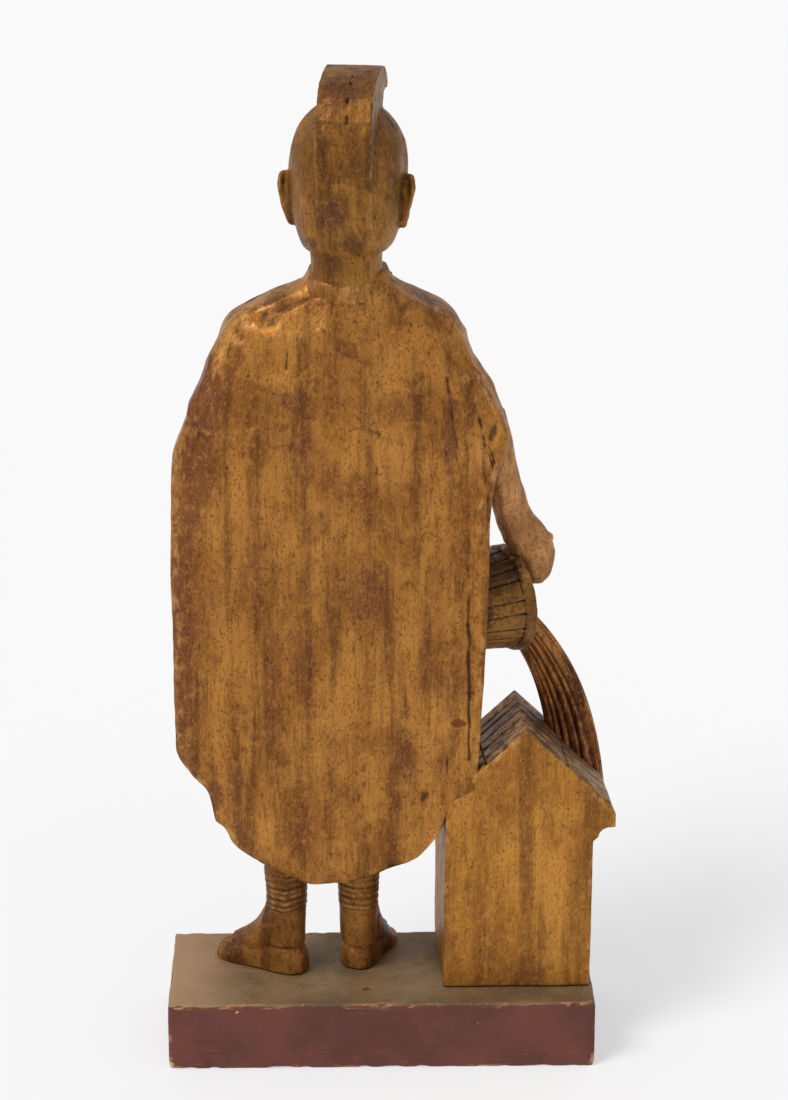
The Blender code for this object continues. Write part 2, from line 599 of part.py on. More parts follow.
def roof_z(x):
    """Height of the roof's surface at a distance along the house."""
    return RIDGE_Z - ROOF_FALL * abs(x - RIDGE_X)


def eave_outline():
    """From the roof's surface round the outer eave, its cove and ledge to the wall, as (x, z) points."""
    tip_x = HOUSE_OUTER_X - EAVE_REACH
    top = roof_z(tip_x)
    cove_width = EAVE_REACH - EAVE_SOFFIT - EAVE_LEDGE
    points = [(tip_x + EAVE_CHAMFER, roof_z(tip_x + EAVE_CHAMFER)), (tip_x, top - EAVE_CHAMFER),
              (tip_x, top - EAVE_DROP)]
    for step in range(COVE_STEPS + 1):
        angle = math.pi / 2 * step / COVE_STEPS
        points.append((tip_x + EAVE_SOFFIT + cove_width * math.sin(angle),
                       top - EAVE_DROP - COVE_HEIGHT * (1 - math.cos(angle))))
    points.append((HOUSE_OUTER_X, top - EAVE_DROP - COVE_HEIGHT - LEDGE_FALL))
    return points


def house_place(depth, x, z):
    """A place on the house, whose front stands a little nearer to the saint than its back."""
    return Vector((x + HOUSE_SKEW * (HOUSE_BACK_Y - depth) / HOUSE_DEPTH, depth, z))


def carve_house(group):
    """Back and front wall, roof and outer eave; the cape hides the inner eave, so it has none."""
    outline = [(RIDGE_X, RIDGE_Z), *eave_outline(), (HOUSE_OUTER_X, SOLE_Z), (HOUSE_INNER_X, SOLE_Z),
               (HOUSE_INNER_X, roof_z(HOUSE_INNER_X))]
    return drawn_out("house", outline, HOUSE_FRONT_Y, HOUSE_BACK_Y, house_place, group)


def slope_groove(name, outward, start, end, low_y, high_y, group):
    """A shallow groove in a roof slope between two distances down the slope from the ridge."""
    along = Vector((outward, 0, -ROOF_FALL)).normalized()
    upward = Vector((outward * ROOF_FALL, 0, 1)).normalized()
    ridge = Vector((RIDGE_X, 0, RIDGE_Z))
    shape = bmesh.new()
    bmesh.ops.create_cube(shape, size=1.0)
    for vert in shape.verts:
        reach = start + (vert.co.x + 0.5) * (end - start)
        lift = -PLANK_GROOVE_DEPTH if vert.co.z < 0 else GROOVE_CUTTER_RISE
        point = ridge + along * reach + upward * lift
        vert.co = house_place(low_y + (vert.co.y + 0.5) * (high_y - low_y), point.x, point.z)
    return finish_bmesh(name, shape, group)


def cut_roof(group):
    """Plank grooves in both slopes; on the inner slope those that run under the cape stop at its edge."""
    half = PLANK_GROOVE_WIDTH / 2
    cape_edge = (CAPE_RIGHT(COVER_LEVEL) * UNIT - COVERED_MARGIN - RIDGE_X) * math.hypot(1, ROOF_FALL)
    covered_y = (CAPE_BACK(0) - CAPE_RIGHT_BOW - CAPE_THICKNESS(0)) * UNIT - COVERED_MARGIN
    for outward, tip_x in ((1, HOUSE_INNER_X), (-1, HOUSE_OUTER_X - EAVE_REACH)):
        row = math.hypot(tip_x - RIDGE_X, RIDGE_Z - roof_z(tip_x)) / PLANK_ROWS
        back_y = HOUSE_BACK_Y + half
        for k in range(1, PLANK_ROWS):
            if outward > 0 and row * k + half > cape_edge:
                back_y = covered_y
            slope_groove(f"row_{outward}_{k}", outward, row * k - half, row * k + half,
                         HOUSE_FRONT_Y - half, back_y, group)
        for k in range(PLANK_ROWS):
            stagger = 0.5 * (k % 2)
            for i in range(1, PLANKS_PER_ROW + (k % 2)):
                y = HOUSE_FRONT_Y + HOUSE_DEPTH * (i - stagger) / PLANKS_PER_ROW
                start, end = row * k + 3 * half, row * (k + 1) - 2 * half
                if outward > 0 and y + half > covered_y:
                    end = min(end, cape_edge)
                if end > start + half:
                    slope_groove(f"plank_{outward}_{k}_{i}", outward, start, end, y - half, y + half, group)


def cut_house_front(group):
    middle = (HOUSE_INNER_X + HOUSE_OUTER_X) / 2
    recess = HOUSE_FRONT_Y + OPENING_RECESS
    clear = HOUSE_FRONT_Y - OPENING_RECESS
    box("door", (middle - DOOR_WIDTH / 2, clear, SOLE_Z + DOOR_STEP),
        (middle + DOOR_WIDTH / 2, recess, SOLE_Z + DOOR_HEIGHT), group)
    for side in (-1, 1):
        x = middle + side * WINDOW_SPACING / 2
        z = SOLE_Z + WINDOW_SILL
        box(f"window_{side}", (x - WINDOW_SIZE / 2, clear, z),
            (x + WINDOW_SIZE / 2, recess, z + WINDOW_SIZE), group)


# The stream's middle line from inside the bucket's mouth, in units: where it starts, how it leaves
# the mouth and how it bends over before it falls onto the roof
STREAM_START = (-60.0, -18.0, 167.0)
STREAM_LEAVES = (-73.0, -19.0, 153.0)
STREAM_BENDS = (-88.8, -19.5, 131.0)


def carve_water(group):
    """A fluted stream that falls in an arc from the bucket's mouth onto the outer roof slope."""
    start, leaves, bends = (body(*point) for point in (STREAM_START, STREAM_LEAVES, STREAM_BENDS))
    land_x = HOUSE_OUTER_X + WATER_LANDS_INSIDE
    land = Vector((land_x, bends.y, roof_z(land_x) - WATER_SINK))
    path = []
    for i in range(WATER_STEPS + 1):
        t = i / WATER_STEPS
        path.append(start * (1 - t) ** 3 + leaves * 3 * t * (1 - t) ** 2 + bends * 3 * t * t * (1 - t)
                    + land * t ** 3)
    rings = []
    for i, point in enumerate(path):
        along = (path[min(i + 1, WATER_STEPS)] - path[max(i - 1, 0)]).normalized()
        side = along.cross(Vector((0, 1, 0))).normalized()
        widened = (i / WATER_STEPS) ** WATER_WIDENING
        half_width = WATER_TOP_HALF_WIDTH + (WATER_FOOT_HALF_WIDTH - WATER_TOP_HALF_WIDTH) * widened
        ring = []
        for k in range(WATER_FLUTES * 3):
            angle = math.tau * k / (WATER_FLUTES * 3)
            cut = FLUTE_DEPTH if k % 3 == 0 else 0.0
            ring.append(point + side * (half_width - cut) * math.cos(angle)
                        + Vector((0, 1, 0)) * (WATER_HALF_DEPTH - cut) * math.sin(angle))
        rings.append(ring)
    return loft("water", rings, group)


def set_boolean(target, operation, group):
    modifier = target.modifiers.new(operation.lower(), "BOOLEAN")
    modifier.operation = operation
    modifier.operand_type = "COLLECTION"
    modifier.collection = group
    modifier.solver = "MANIFOLD"


def carve_figure(parts, shapes, cutters, material):
    """The one carved block: every form united, then the openings and grooves cut in."""
    base = carve_cape(shapes)
    carve_torso(shapes)
    skirt_strips(shapes)
    carve_leg("left_leg", LEFT_LEG, shapes)
    carve_leg("right_leg", RIGHT_LEG, shapes)
    carve_foot("left_foot", *LEFT_FOOT, shapes)
    carve_foot("right_foot", *RIGHT_FOOT, shapes)
    carve_head(shapes)
    carve_crest(shapes)
    carve_arms(shapes)
    carve_bucket(shapes)
    carve_water(shapes)
    carve_house(shapes)
    cut_roof(cutters)
    cut_house_front(cutters)
    figure = mesh_object("figure", base.data.copy(), parts)
    bpy.data.objects.remove(base, do_unlink=True)
    figure.data.materials.append(material)
    set_boolean(figure, "UNION", shapes)
    set_boolean(figure, "DIFFERENCE", cutters)
    return figure


def make_plinth(parts, material):
    half_x, half_y = PLINTH_LENGTH / 2, PLINTH_DEPTH / 2
    plinth = box("plinth", (-half_x, -half_y, 0), (half_x, half_y, PLINTH_HEIGHT), parts)
    plinth.data.materials.append(material)
    edge = plinth.modifiers.new("worn_edge", "BEVEL")
    edge.width = PLINTH_EDGE
    edge.segments = 2
    return plinth


def hide_guides(group):
    for guide in group.objects:
        guide.hide_render = True
        guide.display_type = "WIRE"


def main():
    clear_scene()
    parts = new_collection("saint_florian_figure")
    shapes = new_collection("carved_forms")
    cutters = new_collection("cutters")
    make_plinth(parts, new_material("plinth_paint", PLINTH_PAINT))
    carve_figure(parts, shapes, cutters, new_material("gilt_wood", GILT_WOOD))
    hide_guides(shapes)
    hide_guides(cutters)


main()
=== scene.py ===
"""Looks of a carved and painted shelf figure: a helmeted soldier saint in a long cape, seen from
behind, who pours a bucket of water over a small house, on a board plinth.

Places on the figure are millimetres: x and y from the plinth's middle, height above the soles.
"""
import math

import bmesh
import bpy
import numpy as np
from mathutils import Matrix, Vector, kdtree


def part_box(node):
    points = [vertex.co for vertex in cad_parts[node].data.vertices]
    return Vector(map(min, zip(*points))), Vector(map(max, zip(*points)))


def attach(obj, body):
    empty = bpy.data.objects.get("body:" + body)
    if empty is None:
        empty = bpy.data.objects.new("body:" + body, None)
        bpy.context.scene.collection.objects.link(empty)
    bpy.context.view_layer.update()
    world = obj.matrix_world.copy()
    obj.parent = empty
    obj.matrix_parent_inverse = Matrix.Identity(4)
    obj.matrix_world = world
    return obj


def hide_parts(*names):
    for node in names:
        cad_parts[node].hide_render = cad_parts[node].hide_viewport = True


MM = 0.001

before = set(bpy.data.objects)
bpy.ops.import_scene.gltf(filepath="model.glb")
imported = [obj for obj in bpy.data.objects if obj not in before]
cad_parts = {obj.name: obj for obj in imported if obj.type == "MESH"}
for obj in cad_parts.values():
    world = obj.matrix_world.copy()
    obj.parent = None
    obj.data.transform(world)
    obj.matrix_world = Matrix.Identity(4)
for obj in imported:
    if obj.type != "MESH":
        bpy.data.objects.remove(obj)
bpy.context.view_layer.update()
SOLE_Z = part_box("figure")[0].z
ORIGIN = np.array((0, 0, SOLE_Z))


def smooth_through(keys):
    """A smooth function of an array through (position, value) keys, without overshoot."""
    at, value = np.array(keys, float).T
    steps = np.diff(value) / np.diff(at)
    product = steps[:-1] * steps[1:]
    inner = np.zeros(len(product))
    rising = product > 0
    inner[rising] = 2 * product[rising] / (steps[:-1] + steps[1:])[rising]
    slopes = np.concatenate(([steps[0]], inner, [steps[-1]]))

    def read(t):
        t = np.clip(t, at[0], at[-1])
        i = np.clip(np.searchsorted(at, t, side="right") - 1, 0, len(at) - 2)
        span = at[i + 1] - at[i]
        s = (t - at[i]) / span
        return (value[i] * (1 + 2 * s) * (1 - s) ** 2 + slopes[i] * span * s * (1 - s) ** 2
                + value[i + 1] * s * s * (3 - 2 * s) - slopes[i + 1] * span * s * s * (1 - s))

    return read


def bump(t, centre, width):
    """One at the centre, falling smoothly to nothing a width away."""
    away = np.clip(np.abs(t - centre) / width, 0, 1)
    return 0.5 + 0.5 * np.cos(np.pi * away)


def smooth_step(t, low, high):
    """From nothing at the low end to one at the high end, which may lie under the low one."""
    s = np.clip((t - low) / (high - low), 0, 1)
    return s * s * (3 - 2 * s)


def waves(points, size, seed, count=14):
    """A smooth random field of about unit height; size is its wavelength, one or three numbers."""
    rng = np.random.default_rng(seed)
    directions = rng.normal(size=(count, 3))
    directions /= np.linalg.norm(directions, axis=1)[:, None]
    directions *= rng.uniform(0.6, 1.5, count)[:, None]
    phases = rng.uniform(0, math.tau, count)
    total = np.zeros(len(points))
    for direction, phase in zip(directions, phases):
        total += np.sin(points @ (math.tau * direction / np.array(size)) + phase)
    return total / math.sqrt(count / 2)


CUT_UNEVENNESS = 0.15
CUTS_NEARBY = 8


def shaded_cuts(points, spacing, seed, lean=0.5):
    """Gouge cuts with crisp ridges between them, about nothing in a cut and one on a ridge, and
    a shade from -1 to 1 for each point, the same all over one cut, used as painted light: a
    painted highlight on some cuts and painted shade on others."""
    rng = np.random.default_rng(seed)
    scaled = points / np.array(spacing)
    low, high = scaled.min(0) - 1, scaled.max(0) + 1
    counts = np.maximum(1, np.round(high - low).astype(int))
    cells = np.stack(np.meshgrid(*[np.arange(n) for n in counts], indexing="ij"), -1).reshape(-1, 3)
    seeds = low + cells + rng.uniform(0.0, 1.0, cells.shape)
    depths = rng.uniform(-CUT_UNEVENNESS, CUT_UNEVENNESS, len(seeds))
    leans = rng.normal(0.0, lean, seeds.shape)
    tree = kdtree.KDTree(len(seeds))
    for i, place in enumerate(seeds):
        tree.insert(place, i)
    tree.balance()
    near = np.array([[found[1] for found in tree.find_n(place, CUTS_NEARBY)] for place in scaled])
    away = scaled[:, None, :] - seeds[near]
    height = depths[near] + (away ** 2).sum(2) + (away * leans[near]).sum(2)
    nearest = near[np.arange(len(near)), height.argmin(1)]
    return height.min(1), rng.uniform(-1, 1, len(seeds))[nearest]


def cuts(points, spacing, seed, lean=0.5):
    return shaded_cuts(points, spacing, seed, lean)[0]


def carved(points, cut, swells, rest=0.0):
    """Height of a carved skin: gouge cuts and swells, each a height, a size and a seed."""
    rise, spacing, seed = cut
    height = rise * cuts(points, spacing, seed) - rest
    for rise, size, seed in swells:
        height += rise * waves(points, size, seed)
    return height


class Form:
    """Points in millimetres and the faces between them; forms are added to each other."""

    def __init__(self, points, faces):
        self.points = np.asarray(points, float)
        self.faces = faces

    def __add__(self, other):
        shift = len(self.points)
        moved = [tuple(i + shift for i in face) for face in other.faces]
        return Form(np.vstack((self.points, other.points)), self.faces + moved)


def joined(forms):
    whole = forms[0]
    for form in forms[1:]:
        whole = whole + form
    return whole


def lofted(rings):
    """A closed form through rings of equal count, each end closed by a fan to its middle."""
    rings = np.asarray(rings, float)
    rows, count = rings.shape[:2]
    points = np.vstack((rings.reshape(-1, 3), rings[0].mean(0), rings[-1].mean(0)))
    column = np.arange(count)
    following = (column + 1) % count
    faces = []
    for row in range(rows - 1):
        low, high = row * count, (row + 1) * count
        faces += list(zip(low + column, low + following, high + following, high + column))
    last = (rows - 1) * count
    faces += list(zip(following, column, np.full(count, rows * count)))
    faces += list(zip(last + column, last + following, np.full(count, rows * count + 1)))
    return Form(points, [tuple(int(i) for i in face) for face in faces])


def refined(stations, count):
    """A table of stations, smoothly filled in to a given count of rows."""
    rows = np.array(stations, float)
    at = np.concatenate(([0.0], np.cumsum(np.linalg.norm(np.diff(rows[:, :3], axis=0), axis=1))))
    t = np.linspace(0, at[-1], count)
    return np.column_stack([smooth_through(np.column_stack((at, rows[:, k])))(t)
                            for k in range(rows.shape[1])])


def circle(sides, power=2.0):
    """Points round a circle, squared off as the power grows over two."""
    angle = np.arange(sides) * math.tau / sides
    c, s = np.cos(angle), np.sin(angle)
    return (np.sign(c) * np.abs(c) ** (2 / power), np.sign(s) * np.abs(s) ** (2 / power))


def level_form(stations, sides=96, count=60, power=2.0):
    """Level rings: each station is height, middle x, middle y, half width, half depth."""
    c, s = circle(sides, power)
    rings = []
    for z, x, y, half_width, half_depth in refined(stations, count):
        rings.append(np.column_stack((x + half_width * c, y + half_depth * s, np.full(sides, z))))
    return lofted(rings)


def limb_form(stations, sides=48, count=60, cross=(0, 1, 0)):
    """A limb along a path: each station is x, y, height, half width and half depth."""
    rows = refined(stations, count)
    path = rows[:, :3]
    c, s = circle(sides)
    rings = []
    for i, row in enumerate(rows):
        along = path[min(i + 1, count - 1)] - path[max(i - 1, 0)]
        side = np.cross(along, cross)
        side /= np.linalg.norm(side)
        deep = np.cross(side, along)
        deep /= np.linalg.norm(deep)
        rings.append(row[:3] + np.outer(c * row[3], side) + np.outer(s * row[4], deep))
    return lofted(rings)


POLE = 0.04


def ellipsoid_form(centre, radii, turn=0.0, sides=40, count=24):
    """An ellipsoid turned about the upright axis, closed a little short of its poles."""
    c, s = circle(sides)
    rings = []
    for a in np.linspace(POLE, math.pi - POLE, count):
        x, y = c * math.sin(a) * radii[0], s * math.sin(a) * radii[1]
        rings.append(np.column_stack((centre[0] + x * math.cos(turn) - y * math.sin(turn),
                                      centre[1] + x * math.sin(turn) + y * math.cos(turn),
                                      np.full(sides, centre[2] - radii[2] * math.cos(a)))))
    return lofted(rings)


def drawn_out(outline, low, high, place):
    """A flat outline drawn out between two depths; place gives the point at a depth."""
    count = len(outline)
    points = [place(depth, *point) for depth in (low, high) for point in outline]
    faces = [(i, (i + 1) % count, count + (i + 1) % count, count + i) for i in range(count)]
    faces += [tuple(range(count)), tuple(range(count, 2 * count))]
    return Form(points, faces)


def placed(name, data):
    """A new object in the scene."""
    made = bpy.data.objects.new(name, data)
    bpy.context.scene.collection.objects.link(made)
    return made


def make_mesh(name, form):
    mesh = bpy.data.meshes.new(name)
    mesh.from_pydata((form.points * MM + ORIGIN).tolist(), [], form.faces)
    shape = bmesh.new()
    shape.from_mesh(mesh)
    shape.normal_update()
    bmesh.ops.recalc_face_normals(shape, faces=shape.faces)
    shape.to_mesh(mesh)
    shape.free()
    return mesh


def read_points(mesh):
    places = np.empty(len(mesh.vertices) * 3)
    mesh.vertices.foreach_get("co", places)
    return (places.reshape(-1, 3) - ORIGIN) / MM


def write_points(mesh, points):
    mesh.vertices.foreach_set("co", (points * MM + ORIGIN).ravel())
    mesh.update()


def read_normals(mesh):
    normals = np.empty(len(mesh.vertices) * 3)
    mesh.vertex_normals.foreach_get("vector", normals)
    return normals.reshape(-1, 3)


def read_edges(mesh):
    edges = np.empty(len(mesh.edges) * 2, int)
    mesh.edges.foreach_get("vertices", edges)
    return edges.reshape(-1, 2)


def neighbour_mean(values, edges):
    """The mean of each point's neighbours, for one or more columns of values."""
    degree = np.maximum(np.bincount(edges.ravel(), minlength=len(values)), 1)
    total = np.column_stack([np.bincount(edges[:, 0], column[edges[:, 1]], len(column))
                             + np.bincount(edges[:, 1], column[edges[:, 0]], len(column))
                             for column in values.T])
    return total / degree[:, None]


def relax(points, edges, rounds, share=0.5):
    """Move each point a share of the way to its neighbours' mean, some rounds long."""
    for _ in range(rounds):
        points = points + (neighbour_mean(points, edges) - points) * share
    return points


def set_attribute(mesh, name, values):
    attribute = mesh.attributes.new(name, "FLOAT", "POINT")
    attribute.data.foreach_set("value", values.astype(np.float32))


EDGE_ROUNDS = 6
EDGE_SHARE = 0.6


def mark_edges(mesh):
    """Store how far each point stands out from those round it, in millimetres, as relief."""
    points, edges = read_points(mesh), read_edges(mesh)
    away = points - relax(points, edges, EDGE_ROUNDS, EDGE_SHARE)
    height = np.einsum("ij,ij->i", away, read_normals(mesh))
    set_attribute(mesh, "relief", neighbour_mean(height[:, None], edges)[:, 0])


# How finely each skin is made: its voxel in millimetres and its rounds of smoothing
SKINS = {"house_walls": (0.95, 1), "head": (0.55, 3), "trunk": (1.1, 2), "legs": (0.62, 3),
         "right_arm": (0.58, 3), "left_arm": (0.65, 3), "plinth": (1.05, 1)}


def remeshed(name, form, openings=()):
    """One skin over overlapping closed forms, less the openings, with its points relaxed."""
    voxel, rounds = SKINS[name]
    rough = placed(name, make_mesh(name, form))
    cutters = [placed("cutter", make_mesh("cutter", opening)) for opening in openings]
    for cutter in cutters:
        modifier = rough.modifiers.new("cut", "BOOLEAN")
        modifier.operation = "DIFFERENCE"
        modifier.solver = "MANIFOLD"
        modifier.object = cutter
    modifier = rough.modifiers.new("skin", "REMESH")
    modifier.mode = "VOXEL"
    modifier.voxel_size = voxel * MM
    depsgraph = bpy.context.evaluated_depsgraph_get()
    mesh = bpy.data.meshes.new_from_object(rough.evaluated_get(depsgraph))
    for used in (rough, *cutters):
        bpy.data.objects.remove(used, do_unlink=True)
    mesh.name = name
    write_points(mesh, relax(read_points(mesh), read_edges(mesh), rounds))
    return mesh


def push(mesh, *heights):
    """Move each point along its normal by the sum of the heights, in millimetres."""
    write_points(mesh, read_points(mesh) + read_normals(mesh) * sum(heights)[:, None])


TONE_SOFTNESS = 1.25
STAIN_SOFTNESS = 1.5


def patch(points, middle, reach, softness):
    """One in a patch's middle, falling smoothly to nothing over its reaches."""
    away = np.linalg.norm((points - np.array(middle)) / np.array(reach), axis=1)
    return bump(away, 0.0, softness)


def mark_tone(mesh, patches, columns, ground=0.0):
    """Store light and dark patches as attribute tone; each is a middle, its reaches and a share."""
    points = read_points(mesh)[:, columns]
    tone = np.zeros(len(points)) + ground
    for middle, reach, share in patches:
        tone += share * patch(points, middle, reach, TONE_SOFTNESS)
    set_attribute(mesh, "tone", tone)


def mark_stain(mesh, stains):
    """Store small spilled spots on the back as attribute stain; each is a middle and two reaches."""
    points = read_points(mesh)
    stain = np.zeros(len(points))
    for middle, reach in stains:
        spot = patch(points[:, (0, 2)], middle, reach, STAIN_SOFTNESS)
        stain = np.maximum(stain, spot * (points[:, 1] > 0))
    set_attribute(mesh, "stain", stain)


PIECES = []


def piece(name, mesh, material, stands_for="figure", slot="figure"):
    """Link a finished mesh as a piece of the figure."""
    mark_edges(mesh)
    mesh.polygons.foreach_set("use_smooth", np.ones(len(mesh.polygons), bool))
    mesh.materials.clear()
    mesh.materials.append(material)
    PIECES.append((placed(name, mesh), stands_for, slot))


# Materials

def linear(colour):
    """A colour given as it looks on the screen, from 0 to 255, as the shader needs it."""
    shares = np.array(colour) / 255
    return (*np.where(shares <= 0.04045, shares / 12.92, ((shares + 0.055) / 1.055) ** 2.4), 1.0)


class Shader:
    """A node tree under construction; each method adds to it and gives an output."""

    def __init__(self, name, roughness, metallic, specular=0.25):
        self.material = bpy.data.materials.new(name)
        self.material.use_nodes = True
        self.tree = self.material.node_tree
        self.surface = self.tree.nodes["Principled BSDF"]
        self.surface.inputs["Roughness"].default_value = roughness
        self.surface.inputs["Metallic"].default_value = metallic
        self.surface.inputs["Specular IOR Level"].default_value = specular
        self.place = self.tree.nodes.new("ShaderNodeTexCoord").outputs["Object"]

    def put(self, value, socket):
        if isinstance(value, bpy.types.NodeSocket):
            self.tree.links.new(value, socket)
        else:
            socket.default_value = value

    def add(self, kind, inputs):
        """A new node with the values or outputs given for its inputs, by name or number."""
        node = self.tree.nodes.new("ShaderNode" + kind)
        for key, value in inputs.items():
            self.put(value, node.inputs[key])
        return node

    def scaled(self, size, shift):
        """The object's own coordinates, with one unit as long as the size in millimetres."""
        scale = [1 / (MM * s) for s in size]
        inputs = {"Scale": scale, "Location": shift, "Vector": self.place}
        return self.add("Mapping", inputs).outputs[0]

    def noise(self, size, detail=3.0, rough=0.55, shift=(0, 0, 0), distortion=0.0):
        """Noise whose patches measure about size, in millimetres along each axis."""
        return self.add("TexNoise", {"Scale": 1.0, "Detail": detail, "Roughness": rough,
                                     "Distortion": distortion,
                                     "Vector": self.scaled(size, shift)}).outputs[0]

    def cells(self, size, shift=(0, 0, 0)):
        """The distance to the nearest of many scattered points, and that point's own share."""
        node = self.add("TexVoronoi", {"Scale": 1.0, "Vector": self.scaled(size, shift)})
        return node.outputs["Distance"], node.outputs["Color"]

    def ramp(self, value, low, high, start=0.0, end=1.0):
        """A smooth change from start to end as the value goes from low to high."""
        node = self.add("MapRange", {"Value": value})
        node.interpolation_type = "SMOOTHSTEP"
        for key, number in (("From Min", low), ("From Max", high), ("To Min", start), ("To Max", end)):
            node.inputs[key].default_value = number
        return node.outputs[0]

    def math(self, operation, first, second):
        node = self.add("Math", {0: first, 1: second})
        node.operation = operation
        return node.outputs[0]

    def product(self, first, second):
        return self.math("MULTIPLY", first, second)

    def total(self, parts):
        """The sum of fields, each with its share."""
        whole = self.product(*parts[0])
        for part in parts[1:]:
            whole = self.math("ADD", whole, self.product(*part))
        return whole

    def blend(self, share, first, second):
        node = self.tree.nodes.new("ShaderNodeMix")
        node.data_type = "RGBA"
        self.put(share, node.inputs["Factor"])
        for colour, key in ((first, 6), (second, 7)):
            self.put(colour, node.inputs[key])
        return node.outputs[2]

    def layered(self, colour, layers):
        """Paint over a colour: each layer is a field, where it starts and is full, share and colour."""
        for field, low, high, most, paint in layers:
            colour = self.blend(self.ramp(field, low, high, 0.0, most), colour, linear(paint))
        return colour

    def attribute(self, name):
        node = self.tree.nodes.new("ShaderNodeAttribute")
        node.attribute_name = name
        return node.outputs["Fac"]

    def axis(self, vector, number):
        return self.add("SeparateXYZ", {0: vector}).outputs[number]

    def finish(self, colour, height, roughness):
        """Join the colour and the relief, given in millimetres, to the surface."""
        self.put(colour, self.surface.inputs["Base Color"])
        self.put(roughness, self.surface.inputs["Roughness"])
        bumped = self.add("Bump", {"Distance": MM, "Height": height})
        self.tree.links.new(bumped.outputs[0], self.surface.inputs["Normal"])
        return self.material


WORN = (196, 148, 88)
STAIN = (112, 44, 22)
SOLE_LINE = 0.8 * MM
DEEP_SHARE = 0.40
PIT_SHARE = 0.80


def gilt_wood(name, mid, light, dark, violet, grain=(1.1, 1.1, 16.0), violet_share=0.45,
              roughness=0.46, metallic=0.5, hollow_dark=0.8, shift=(0, 0, 0)):
    """Bronze-gold paint worn over carved wood: patches, grain streaks, specks, rubbed edges and darkened
    hollows, with painted highlights and painted shade from the tone attribute.
    """
    s = Shader(name, roughness, metallic)
    deep = [c * DEEP_SHARE for c in dark]
    patches = s.noise((30, 30, 50), 5.0, 0.6, shift)
    streaks = s.noise(grain, 3.0, 0.6, shift, 0.4)
    bands = s.noise((10, 10, 150), 3.0, 0.55, shift)
    blots = s.noise((19, 19, 34), 4.0, 0.62, (3.1, 1.7, 5.3))
    mottle = s.noise((3.6, 3.6, 5.4), 5.0, 0.68, shift)
    specks = s.noise((0.9, 0.9, 1.5), 3.0, 0.7, shift)
    rubs = s.noise((17, 17, 17), 2.0, 0.5, (2.0, 6.0, 1.0))
    # The tone attribute is partly the paint's colour and partly painted light: low tone blends towards
    # violet as painted shade, high tone towards light as painted highlights.
    tone = s.math("ADD", s.attribute("tone"), s.math("SUBTRACT", s.product(mottle, 0.9), 0.45))
    relief = s.attribute("relief")
    colour = s.blend(s.ramp(patches, 0.38, 0.62), linear(mid), linear(light))
    colour = s.layered(colour, (
        (bands, 0.47, 0.66, 0.75, dark), (bands, 0.46, 0.30, 0.45, light),
        (blots, 0.50, 0.66, violet_share, violet),
        (tone, -0.12, -0.75, 0.85, violet), (tone, 0.12, 0.75, 0.75, light),
        (mottle, 0.50, 0.70, 0.45, light), (mottle, 0.46, 0.28, 0.6, dark),
        (streaks, 0.52, 0.72, 0.5, dark), (streaks, 0.44, 0.26, 0.3, light),
        (specks, 0.51, 0.70, 0.8, dark), (specks, 0.45, 0.27, 0.7, light)))
    edge = s.product(s.ramp(relief, 0.03, 0.16), s.ramp(mottle, 0.42, 0.60))
    edge = s.product(edge, s.ramp(rubs, 0.42, 0.60, 0.0, 0.6))
    colour = s.blend(edge, colour, linear(WORN))
    height_up = s.axis(s.place, 2)
    # Hollows, points lower than those round them, are darkened, and so is a thin line along the bottom of
    # the soles.
    colour = s.layered(colour, (
        (relief, -0.03, -0.20, hollow_dark, deep),
        (height_up, SOLE_Z + SOLE_LINE, SOLE_Z + SOLE_LINE / 3, 0.85, deep),
        (s.attribute("stain"), 0.25, 0.5, 0.85, STAIN)))
    distance, chance = s.cells((3.6, 3.6, 4.6))
    pits = s.product(s.ramp(distance, 0.13, 0.07), s.math("GREATER_THAN", chance, PIT_SHARE))
    colour = s.blend(s.product(pits, 0.7), colour, linear(deep))
    height = s.total(((streaks, -0.18), (mottle, 0.24), (specks, -0.08), (pits, -0.35)))
    return s.finish(colour, height, s.ramp(mottle, 0.3, 0.7, roughness + 0.12, roughness - 0.06))


SPOT_SHARE = 0.84


